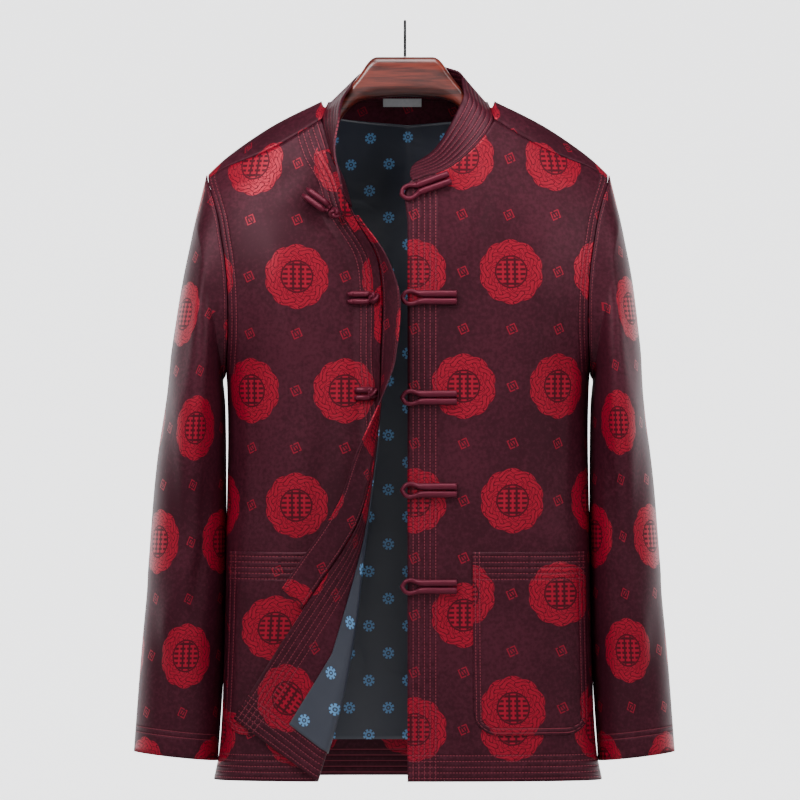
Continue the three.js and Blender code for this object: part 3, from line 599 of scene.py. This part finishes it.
collar = clothWall("collarBand", collarPoints, (0.2, -1, 0.6),
                   {"cloth": pairs(collarAt * walkedRun[-1] + 7, collarUp), "seam": pairs(collarUp, collarAt * walkedRun[-1])},
                   wall=2, lift=2)

# Pockets: a patch on a front between two shares of its width, with rounded lower corners.
pocketCloth = {"bottom": -774, "top": -575.6, "corner": 26, "wall": 1.0, "lift": 1.3}


def pocket(name, sign, shareOuter, shareInner, grid):
    u = np.linspace(shareOuter, shareInner, 60)[None]
    v = np.linspace(0, 1, 80)[:, None]
    z0 = pocketCloth["bottom"] * (1 - v) + pocketCloth["top"] * v
    width = abs(grid(u[:, -1:], z0)[0] - grid(u[:, :1], z0)[0]).mean()
    fromEdge = (u - shareOuter) / (shareInner - shareOuter) * width
    corner = pocketCloth["corner"]
    inset = np.clip(corner - np.minimum(fromEdge, width - fromEdge), 0, corner)
    bottom = pocketCloth["bottom"] + corner - np.sqrt(corner**2 - inset**2)
    z = mix(bottom, pocketCloth["top"], v)
    x, y = grid(u, z)
    points = np.stack(np.broadcast_arrays(x, y, z), -1)
    sideGap = np.minimum(fromEdge, width - fromEdge) + 0 * z
    edge = np.minimum(sideGap, z - bottom)
    maps = {"cloth": pairs(sign * fromEdge + 0 * z, z), "seam": pairs(edge, pocketCloth["top"] - z)}
    return clothWall(name, points, (0, -1, 0), maps, pocketCloth["wall"], pocketCloth["lift"])


def leftGrid(u, z):
    x = mix(sideAt(z), -0.6, u)
    return x, frontY(x, z)


def rightGrid(u, z):
    x = mix(-sideAt(z), along(roll, "start", z), u)
    return x, np.minimum(frontY(x, z) + along(roll, "dip", z) * u**2, -seamGap)


def onFolds(place, base, folds):
    def grid(u, z):
        x, y = base(u, z)
        points = np.stack(np.broadcast_arrays(x, y, z), -1)
        if min(points.shape[:2]) < 3:
            return x, y
        moved = folded(points, (0, -1, 0), folds)
        return moved[..., 0], moved[..., 1]
    return grid


pocketLeft = pocket("pocketLeft", -1, 0.0353, 0.647, onFolds(0, leftGrid, leftFolds))
pocketRight = pocket("pocketRight", 1, 0.0353, 0.829, onFolds(0, rightGrid, rightFolds))
print("collar, underlap and pockets made")


# Fastenings. A loop is a cord doubled into a strap, open round its eye; a knot is a strap with a
# ball of cord on its end, wound as a trefoil.
loopCord = table("at off radius", (0, 0, 2.4), (3.5, 5.2, 2.4), (9, 7, 2.4), (15, 5.6, 2.6), (21, 4.1, 3.6),
                 (40, 4.1, 3.7), (59, 4.1, 3.7))


def frogLoop(number, tipX, tipZ, degrees, length):
    angle = math.radians(degrees)
    s = np.concatenate([np.linspace(59, 21, 24)[:-1], 21 * np.linspace(1, 0, 26) ** 1.6])
    at = np.where(s > 20, s * length / 59, s)
    off, radius = along(loopCord, "off", s), along(loopCord, "radius", s)
    at, off = np.concatenate([at, at[-2::-1]]), np.concatenate([off, -off[-2::-1]])
    radius = np.concatenate([radius, radius[-2::-1]])
    x = tipX + at * math.cos(angle) - off * math.sin(angle)
    z = tipZ + at * math.sin(angle) + off * math.cos(angle)
    path = np.stack([x, frontY(x, z) - radius - 0.6, z], -1)
    return tube("frogLoop%d" % number, path, radius, 12)


loops = [frogLoop(1, -7, -190, 20, 55)] + [frogLoop(i + 2, -6.5, z, 0, 59) for i, z in enumerate((-301, -409, -509, -613))]


def frogKnot(number, path, outs, off=0.9):
    run = np.concatenate([[0], np.cumsum(np.linalg.norm(np.diff(path, axis=0), axis=1))])
    length = run[-1]
    t = np.linspace(0, 0.76, 30) * length
    line = np.stack([np.interp(t, run, path[:, k]) for k in range(3)], -1)
    out = np.stack([np.interp(t, run, outs[:, k]) for k in range(3)], -1)
    ahead = np.gradient(line, axis=0)
    side = np.cross(ahead / np.linalg.norm(ahead, axis=1, keepdims=True), out)
    radius = 3.4 * np.clip(1.05 - np.abs(t / length - 0.36) ** 6 * 400, 0.55, 1)
    gather = np.clip((0.8 - t / length) / 0.16, 0.45, 1)
    cords = [tube("strap", line + side * sign * (4.1 * gather)[:, None] + out * (radius + off)[:, None], radius, 12,
                  up=out[len(out) // 2]) for sign in (-1, 1)]
    end, endOut = path[-1] - (path[-1] - path[-8]) * 0.2, outs[-1]
    ahead = (path[-1] - path[-6]) / np.linalg.norm(path[-1] - path[-6])
    side = np.cross(ahead, endOut)
    turn = np.linspace(0, 2 * np.pi, 72, endpoint=False)
    wide = 1 + 0.45 * np.cos(3 * turn)
    ball = end + endOut * (5.4 + off) - ahead * 2.4
    loop = ball + 3.3 * (ahead * (np.cos(2 * turn) * wide)[:, None] + side * (np.sin(2 * turn) * wide)[:, None]
                         + endOut * (0.75 * np.sin(3 * turn))[:, None])
    knot = tube("knot", loop, 2.1, 10, closed=True, up=endOut)
    return joined("frogKnot%d" % number, knot, *cords)


# Points of the right front's outer face along a row, with its normals.
def rowPath(z, back, past):
    start, dip, reach = (float(along(roll, c, z)) for c in ("start", "dip", "reach"))
    cloth = np.linspace(reach - back, reach + past, 34)
    grid = np.concatenate([[0], np.linspace(0.5, reach + 4, 90)])[None]
    curve = rolledEdge(np.array([z]), grid)[0]
    x = start + np.linspace(-44, -0.5, 60)
    share = 1 + (x - start) / 110
    flat = np.stack([x, frontY(x, z) + dip * share**2, np.full_like(x, z)], -1)
    whole, run = np.concatenate([flat, curve]), np.concatenate([x - start, grid[0]])
    path = np.stack([np.interp(cloth, run, whole[:, k]) for k in range(3)], -1)
    ahead = np.gradient(path, axis=0)
    out = np.cross(ahead, [0, 0, 1])
    return path, out / np.linalg.norm(out, axis=1, keepdims=True)


t = np.linspace(0, 1, 34)
x, z = mix(-112, -76, t), mix(-186, -212, t)
neckPath = np.stack([x, frontY(x, z) + along(roll, "dip", z) * 0.6 - 3, z], -1)
knots = [frogKnot(1, neckPath, np.tile([0.0, -1, 0], (34, 1)))]
for i, (z, back_, past, off) in enumerate(((-301, 44, -3, 0.9), (-405, 40, -4, 0.9), (-509, 40, -2, 0.9), (-613, 27, 2, 4))):
    knots.append(frogKnot(i + 2, *rowPath(z, back_, past), off))
print("fastenings made")

# The hanger: sections of a squared oval from end to end, with its top and bottom lines by a table.
hangerTable = table("x top bottom depth", (0, -37.6, -80, 14), (37, -37.6, -82, 14), (49, -57, -85, 14),
                    (60, -70, -92, 13), (88, -112, -132, 12), (150, -134, -158, 15), (194, -168, -190, 14),
                    (205, -180, -192, 8))
x = np.concatenate([np.linspace(-205, 205, 260)])
line = {c: np.convolve(np.pad(np.interp(np.abs(x), hangerTable["x"], hangerTable[c]), 4, mode="edge"), np.ones(9) / 9, "valid")
        for c in ("top", "bottom", "depth")}
angle = np.linspace(0, 2 * np.pi, 40, endpoint=False)
squared = lambda v: np.sign(v) * np.abs(v) ** 0.55
z = mix(line["bottom"][:, None], line["top"][:, None], (1 + squared(np.sin(angle))) / 2)
rings = np.stack(np.broadcast_arrays(x[:, None], line["depth"][:, None] * squared(np.cos(angle)), z), -1)
r, c = np.meshgrid(np.arange(len(x) - 1), np.arange(40), indexing="ij")
faces = np.stack([r * 40 + c, r * 40 + (c + 1) % 40, (r + 1) * 40 + (c + 1) % 40, (r + 1) * 40 + c], -1).reshape(-1, 4)
vertices = rings.reshape(-1, 3)
ends = np.stack([rings[0].mean(0), rings[-1].mean(0)])
k = np.arange(0, 40, 2)
n = len(vertices)
faces = np.concatenate([faces, np.stack([0 * k + n, (k + 2) % 40, k + 1, k], -1),
                        np.stack([0 * k + n + 1, n - 40 + k, n - 40 + k + 1, n - 40 + (k + 2) % 40], -1)])
vertices = np.concatenate([vertices, ends])
a, b, d = (vertices[faces[3, q]] for q in (0, 1, 3))
if np.cross(b - a, d - a) @ (a - ends[0]) < 0:
    faces = faces[:, ::-1]
hangerBody = makeMesh("hangerBody", vertices, faces)

# The hook: a wire that rises from the block and turns over the rail.
wire = {"radius": 1.55, "bend": 15.5}
angle = np.radians(np.linspace(-35, 210, 60))
arc = np.stack([0 * angle, wire["bend"] * np.cos(angle), wire["radius"] - wire["bend"] + wire["bend"] * np.sin(angle)], -1)
stem = np.stack([np.zeros(12), np.concatenate([np.zeros(6), arc[0, 1] * np.linspace(0.02, 0.8, 6) ** 1.6]),
                 np.concatenate([np.linspace(-37.2, -32, 6), np.linspace(-31, arc[0, 2] - 0.8, 6)])], -1)
wirePath = np.concatenate([stem, arc])
hangerHook = tube("hangerHook", wirePath, wire["radius"], 14, shift=np.zeros(3), up=(1, 0, 0))
print("hanger made")

# Looks. Patterns are worked out from the cloth's own coordinates, in millimetres.
satin = {"ground": (0.034, 0.0045, 0.0105), "groundLight": (0.062, 0.009, 0.019), "medallion": (0.29, 0.0055, 0.022),
         "line": (0.045, 0.0035, 0.009), "thread": (0.24, 0.035, 0.055), "columnPitch": 106.0, "rowPitch": 123.6,
         "radius": 35.0, "roughness": 0.46}


# Distances from the nearest point of a lattice whose every other row is set over by half a step.
def halfDrop(shader, u, v, columnPitch, rowPitch):
    def cell(value, pitch, shift):
        return (shader.node("ShaderNodeMath", {"operation": "FRACT"}, [value / pitch + (shift + 0.5)]) - 0.5) * pitch
    x0, y0 = cell(u, columnPitch, 0), cell(v, 2 * rowPitch, 0)
    x1, y1 = cell(u, columnPitch, 0.5), cell(v, 2 * rowPitch, 0.5)
    nearer = (x1 * x1 + y1 * y1).math("LESS_THAN", x0 * x0 + y0 * y0)
    return x0 + nearer * (x1 - x0), y0 + nearer * (y1 - y0)


# A medallion: a scalloped disc with scrolling petals round a square fret, as line and fill masks.
def medallion(shader, x, y):
    r = (x * x + y * y).math("SQRT")
    angle = y.math("ARCTAN2", x)
    edge = satin["radius"] + (angle * 5.0).math("SINE").math("ABSOLUTE") * 2.2 - 2.0
    disc = 1 - shader.step(r - edge, -0.6, 0.6)
    petals = (angle * 10.0 + (r * 0.42).math("SINE") * 2.6).math("SINE").math("ABSOLUTE")
    scrolls = (r * 0.62 + (angle * 10.0).math("SINE") * 1.5).math("SINE").math("ABSOLUTE")
    outerLines = 1 - shader.step(petals.math("MINIMUM", scrolls), 0.10, 0.34)
    left, high = x.math("ABSOLUTE"), (y + 0.4).math("ABSOLUTE")
    rungs = shader.step(((y / 5.2).math("FRACT") - 0.5).math("ABSOLUTE"), 0.2, 0.3)
    posts = ((left - 9.0).math("ABSOLUTE").math("LESS_THAN", 1.1)).math("MAXIMUM", left.math("LESS_THAN", 1.1))
    innerLines = 1 - (rungs * (left - 4.2).math("ABSOLUTE").math("GREATER_THAN", 1.2)).math("MAXIMUM", posts * high.math("LESS_THAN", 11.5))
    inside = 1 - shader.step(r, 15.5, 16.5)
    ring = 1 - shader.step((r - 17.0).math("ABSOLUTE"), 0.5, 1.2)
    lines = (outerLines + inside * (innerLines - outerLines)).math("MAXIMUM", ring)
    return disc, disc * lines


# Small tilted frets between the medallions.
def smallFrets(shader, u, v, bigX, bigY):
    x, y = halfDrop(shader, u, v, satin["columnPitch"] / 2, satin["rowPitch"] / 4)
    apart = ((bigX - x) * (bigX - x) + (bigY - y) * (bigY - y)).math("SQRT")
    away = apart.math("GREATER_THAN", 43.0)
    turn = math.radians(24)
    a = x * math.cos(turn) + y * math.sin(turn)
    b = y * math.cos(turn) - x * math.sin(turn)
    square = a.math("ABSOLUTE").math("MAXIMUM", b.math("ABSOLUTE"))
    bars = shader.step(((square / 2.9).math("FRACT") - 0.5).math("ABSOLUTE"), 0.12, 0.3)
    cut = 1 - (a + b * 0.35).math("ABSOLUTE").math("LESS_THAN", 0.8)
    return (1 - bars) * cut * square.math("LESS_THAN", 5.6) * away


# Rows of topstitching: the thread's dashes and the furrow it pulls, at set distances from a seam. The furrow mask both
# sinks the groove in the bump and darkens the colour along it as painted shade.
def stitchRows(shader, distance, run, first, pitch, count):
    at = (distance - first) / pitch
    inRows = at.math("GREATER_THAN", -0.5) * at.math("LESS_THAN", count - 0.5)
    off = ((at + 0.5).math("FRACT") - 0.5).math("ABSOLUTE") * pitch
    dash = (run / 3.4).math("FRACT").math("LESS_THAN", 0.66)
    thread = (1 - shader.step(off, 0.28, 0.62)) * dash * inRows
    furrowAndShade = (1 - shader.step(off, 0.2, 2.2)) * inRows
    return thread, furrowAndShade


def most(values):
    total = values[0]
    for value in values[1:]:
        total = total.math("MAXIMUM", value)
    return total


# The shell: burgundy satin with crimson medallions. rows are (map, axis, first, pitch, count).
def shellCloth(name, shiftU, shiftV, rows=(), plain=False):
    shader = Shader(name)
    u, v = shader.uv("cloth")
    mottle = shader.node("ShaderNodeTexNoise", sockets={"Vector": shader.objectPlace(), "Scale": 260.0, "Detail": 3.0})
    broad = shader.node("ShaderNodeTexNoise", sockets={"Vector": shader.objectPlace(), "Scale": 9.0, "Detail": 2.0})
    ground = shader.mixed(shader.step(mottle * 0.6 + broad * 0.4, 0.38, 0.66), satin["ground"], satin["groundLight"])
    color = ground
    fill = None
    if not plain:
        x, y = halfDrop(shader, u - shiftU, v - shiftV, satin["columnPitch"], satin["rowPitch"])
        disc, lines = medallion(shader, x, y)
        frets = smallFrets(shader, u - shiftU, v - shiftV, x, y)
        color = shader.mixed(disc, color, satin["medallion"])
        color = shader.mixed(lines * 0.95, color, satin["line"])
        color = shader.mixed(frets * 0.75, color, satin["medallion"])
        fill = (disc - lines).math("MAXIMUM", frets)
    weave = shader.node("ShaderNodeTexNoise", sockets={"Vector": shader.objectPlace(), "Scale": 900.0, "Detail": 1.0})
    height = weave * 0.12 if fill is None else weave * 0.12 + fill * 0.25
    if rows:
        found = []
        for mapName, axis, first, pitch, count in rows:
            place = shader.uv(mapName)
            run = place[1 - axis]
            found.append(stitchRows(shader, place[axis], run, first, pitch, count))
        thread = most([pair[0] for pair in found])
        furrowAndShade = most([pair[1] for pair in found])
        # Painted shade: the colour is darkened towards the dark ground along the stitch furrows, where the groove would
        # lie in shade.
        color = shader.mixed(furrowAndShade * 0.35, color, satin["ground"])
        color = shader.mixed(thread * 0.7, color, satin["thread"])
        height = height - furrowAndShade * 1.5 + thread * 0.5
    bump = shader.node("ShaderNodeBump", sockets={"Strength": 0.5, "Distance": 0.0006, "Height": height})
    roughness = satin["roughness"] if fill is None else satin["roughness"] + 0.03 - fill * 0.1
    return shader.finish(baseColor=color, roughness=roughness, normal=bump, metallic=0.28, specular=0.16)


# The lining: dark satin with small rings of rays, staggered.
lining = {"ground": (0.030, 0.034, 0.050), "ring": (0.12, 0.32, 0.60), "columnPitch": 43.0, "rowPitch": 30.0}


def liningCloth(name, shiftU=0.0, shiftV=0.0):
    shader = Shader(name)
    u, v = shader.uv("cloth")
    x, y = halfDrop(shader, u - shiftU, v - shiftV, lining["columnPitch"], lining["rowPitch"])
    r = (x * x + y * y).math("SQRT")
    angle = y.math("ARCTAN2", x)
    rays = shader.step((angle * 4.0).math("SINE").math("ABSOLUTE"), 0.45, 0.7)
    ring = 1 - shader.step((r - 3.3).math("ABSOLUTE"), 0.5, 1.1)
    spikes = rays * (1 - shader.step((r - 5.2).math("ABSOLUTE"), 0.9, 1.5))
    dot = 1 - shader.step(r, 0.8, 1.4)
    mark = ring.math("MAXIMUM", spikes).math("MAXIMUM", dot)
    color = shader.mixed(mark * 0.85, lining["ground"], lining["ring"])
    wrinkle = shader.node("ShaderNodeTexNoise", sockets={"Vector": shader.objectPlace(), "Scale": 14.0, "Detail": 3.0, "Distortion": 0.6})
    bump = shader.node("ShaderNodeBump", sockets={"Strength": 0.6, "Distance": 0.006, "Height": wrinkle})
    return shader.finish(baseColor=color, roughness=0.4, normal=bump, specular=0.5)


def woodLook():
    shader = Shader("mahogany")
    place = shader.node("ShaderNodeMapping", sockets={"Vector": shader.objectPlace(), "Scale": (3.0, 20.0, 42.0)})
    grain = shader.node("ShaderNodeTexNoise", sockets={"Vector": place, "Scale": 3.0, "Detail": 6.0, "Roughness": 0.65, "Distortion": 0.5})
    fine = shader.node("ShaderNodeTexNoise", sockets={"Vector": place, "Scale": 14.0, "Detail": 3.0})
    color = shader.mixed(shader.step(grain * 0.75 + fine * 0.25, 0.36, 0.64), (0.03, 0.004, 0.0025), (0.17, 0.022, 0.012))
    bump = shader.node("ShaderNodeBump", sockets={"Strength": 0.15, "Distance": 0.0004, "Height": grain})
    return shader.finish(baseColor=color, roughness=0.32, normal=bump, coatWeight=0.3, coatRoughness=0.2)


def plainLook(name, color, roughness, scale, **more):
    shader = Shader(name)
    spread = shader.node("ShaderNodeTexNoise", sockets={"Vector": shader.objectPlace(), "Scale": scale, "Detail": 2.0})
    dark = tuple(0.75 * c for c in color)
    return shader.finish(baseColor=shader.mixed(spread, dark, color), roughness=roughness, **more)


hem = ("seam", 1, 3.5, 6.2, 5)
placket = ("seam", 0, 4.9, 6.1, 5)
armSeam = ("arm", 0, 4.0, 4.5, 2)
liningLook = liningCloth("liningSatin")
sleeveRows = [("seam", 1, 22.0, 6.0, 2), ("seam", 0, 4.0, 4.5, 1)]
looks = {
    frontLeft: [shellCloth("shellFrontLeft", 7.0, -273.0, [hem, placket, armSeam]), liningLook],
    frontRight: [shellCloth("shellFrontRight", -121.0, -278.0, [hem, placket, armSeam]),
                 shellCloth("shellFrontRightInside", -60.0, -690.0, [hem])],
    back: [shellCloth("shellBack", 0.0, -273.0, [hem]), shellCloth("shellBackInside", -46.0, -796.0, [hem])],
    facingRight: [shellCloth("shellFacingOut", -60.0, -690.0), shellCloth("shellFacing", -60.0, -690.0, [("seam", 0, 4.9, 6.1, 5)])],
    underlap: [shellCloth("shellUnderlap", 0.0, -330.0, [("seam", 0, 3.0, 25.0, 2)])] * 2,
    sleeveLeft: [shellCloth("shellSleeveLeft", 36.0, -312.0, sleeveRows), liningLook],
    sleeveRight: [shellCloth("shellSleeveRight", -40.0, -318.0, sleeveRows), liningLook],
    collar: [shellCloth("shellCollar", 20.0, 300.0, [("seam", 0, 4.0, 6.6, 6)], plain=True)] * 2,
    pocketLeft: [shellCloth("shellPocketLeft", -28.0, -621.0, [("seam", 0, 2.6, 4.6, 2), ("seam", 1, 5.0, 6.1, 5)])] * 2,
    pocketRight: [shellCloth("shellPocketRight", 50.0, -658.0, [("seam", 0, 2.6, 4.6, 2), ("seam", 1, 5.0, 6.1, 5)])] * 2,
    liningBack: [liningLook, liningLook],
    liningRight: [liningLook, liningLook],
    hangerBody: [woodLook()],
    hangerHook: [plainLook("blackWire", (0.02, 0.02, 0.022), 0.35, 60.0, metallic=0.6)],
}
cordLook = plainLook("frogSatin", (0.11, 0.010, 0.026), 0.38, 160.0, metallic=0.3, specular=0.2)
for piece in loops + knots:
    looks[piece] = [cordLook]
for piece, materials in looks.items():
    piece.data.materials.clear()
    for material in materials:
        piece.data.materials.append(material)
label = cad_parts["neck_label"]
labelLook = plainLook("labelTape", (0.35, 0.35, 0.37), 0.8, 300.0)
for place in label.material_slots:
    place.material = labelLook
print("materials made")

# What each piece stands for, its slot in the record, and the cut of each sheet in metres.
shown = {
    frontLeft: (("front_left",), "shell_satin", (0.27, 0.72), 0.159), frontRight: (("front_right",), "shell_satin", (0.30, 0.72), 0.15),
    back: (("back",), "shell_satin", (0.56, 0.78), 0.345), facingRight: (("facing_right",), "shell_satin", (0.055, 0.64), 0.0155),
    liningRight: (("lining_front_right",), "lining_satin", (0.26, 0.66), 0.125), liningBack: (("lining_back",), "lining_satin", (0.55, 0.70), 0.307),
    underlap: (("underlap_right",), "shell_satin", (0.0315, 0.475), 0.0119), sleeveLeft: (("sleeve_left",), "shell_satin", (0.40, 0.63), 0.16),
    sleeveRight: (("sleeve_right",), "shell_satin", (0.40, 0.63), 0.163), collar: (("collar",), "shell_satin", (0.42, 0.045), 0.0184),
    pocketLeft: (("pocket_left",), "shell_satin", (0.145, 0.198), 0.0265), pocketRight: (("pocket_right",), "shell_satin", (0.145, 0.198), 0.0235),
}
pieceNames = {piece: piece.name for piece in shown}
for piece, (nodes, slot, flat, area) in shown.items():
    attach(piece, "root")
    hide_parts(*nodes)
for i, piece in enumerate(loops):
    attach(piece, "root")
    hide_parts("frog_loop_%d" % (i + 1))
for i, piece in enumerate(knots):
    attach(piece, "root")
    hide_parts("frog_knot_%d" % (i + 1))
for piece, node, slot in ((hangerBody, "hanger_body", "hanger_wood"), (hangerHook, "hanger_hook", "hook_wire")):
    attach(piece, "root")
    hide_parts(node)

# The stage: a pale floor, and round the room a wall that glows more behind the jacket.
stage = {"floor": -1.7, "wallTop": 3.0, "radius": 11.0, "color": (0.86, 0.86, 0.87), "farGlow": 2.6, "nearGlow": 0.45}


def studioLook(name, glow):
    studio = Shader(name)
    grain = studio.node("ShaderNodeTexNoise", sockets={"Vector": studio.objectPlace(), "Scale": 3.0})
    color = studio.mixed(grain, stage["color"], tuple(0.98 * c for c in stage["color"]))
    return studio.finish(baseColor=color, roughness=0.9, emissionColor=color, emissionStrength=glow)


def board(name, corners, faces, look):
    mesh = bpy.data.meshes.new(name)
    mesh.from_pydata(corners.tolist(), [], faces.tolist())
    mesh.materials.append(look)
    made = bpy.data.objects.new(name, mesh)
    bpy.context.collection.objects.link(made)


def halfWall(name, fromAngle, look):
    angle = fromAngle + np.linspace(0, np.pi, 49)
    ring = np.stack([stage["radius"] * np.cos(angle), stage["radius"] * np.sin(angle)], -1)
    corners = np.concatenate([np.insert(ring, 2, z, axis=1) for z in (stage["floor"], stage["wallTop"])])
    k = np.arange(48)
    board(name, corners, np.stack([k + 1, k, k + 49, k + 50], -1), look)


halfWall("wallFar", 0.0, studioLook("farWall", stage["farGlow"]))
halfWall("wallNear", np.pi, studioLook("nearWall", stage["nearGlow"]))
reachOut = stage["radius"]
board("floor", np.array([(x, y, stage["floor"]) for x, y in ((-reachOut, -reachOut), (reachOut, -reachOut),
                                                            (reachOut, reachOut), (-reachOut, reachOut))]),
      np.array([(0, 1, 2, 3)]), studioLook("paleFloor", 0.0))

lights = {
    "key": {"at": (-1.0, -1.4, 1.0), "to": (0, 0, -0.1), "size": 0.9, "power": 42},
    "side": {"at": (1.4, -1.1, 0.5), "to": (0, 0, -0.2), "size": 0.8, "power": 15},
    "front": {"at": (0.3, -3.6, -0.3), "to": (0, 0, -0.45), "size": 1.6, "power": 6},
    "top": {"at": (0.1, -0.5, 1.1), "to": (0, 0, -0.3), "size": 0.8, "power": 20},
}
for name, light in lights.items():
    data = bpy.data.lights.new(name, "AREA")
    data.energy, data.size = light["power"], light["size"]
    lamp = bpy.data.objects.new(name, data)
    lamp.location = light["at"]
    way = [b - a for a, b in zip(light["at"], light["to"])]
    across_ = math.hypot(way[0], way[1])
    lamp.rotation_euler = (math.atan2(across_, -way[2]), 0, math.atan2(-way[0], way[1]))
    bpy.context.collection.objects.link(lamp)

world = bpy.data.worlds.new("studioAir")
world.use_nodes = True
world.node_tree.nodes["Background"].inputs[0].default_value = (1, 1, 1, 1)
world.node_tree.nodes["Background"].inputs[1].default_value = 0.1
bpy.context.scene.world = world

camera = {"lens": 333, "at": (-0.0054, -8.07, -0.4115)}
eye = bpy.data.cameras.new("camera")
eye.lens, eye.sensor_width = camera["lens"], 36
eyeObject = bpy.data.objects.new("camera", eye)
eyeObject.location = camera["at"]
eyeObject.rotation_euler = (math.pi / 2, 0, 0)
bpy.context.collection.objects.link(eyeObject)
bpy.context.scene.camera = eyeObject
print("stage set")
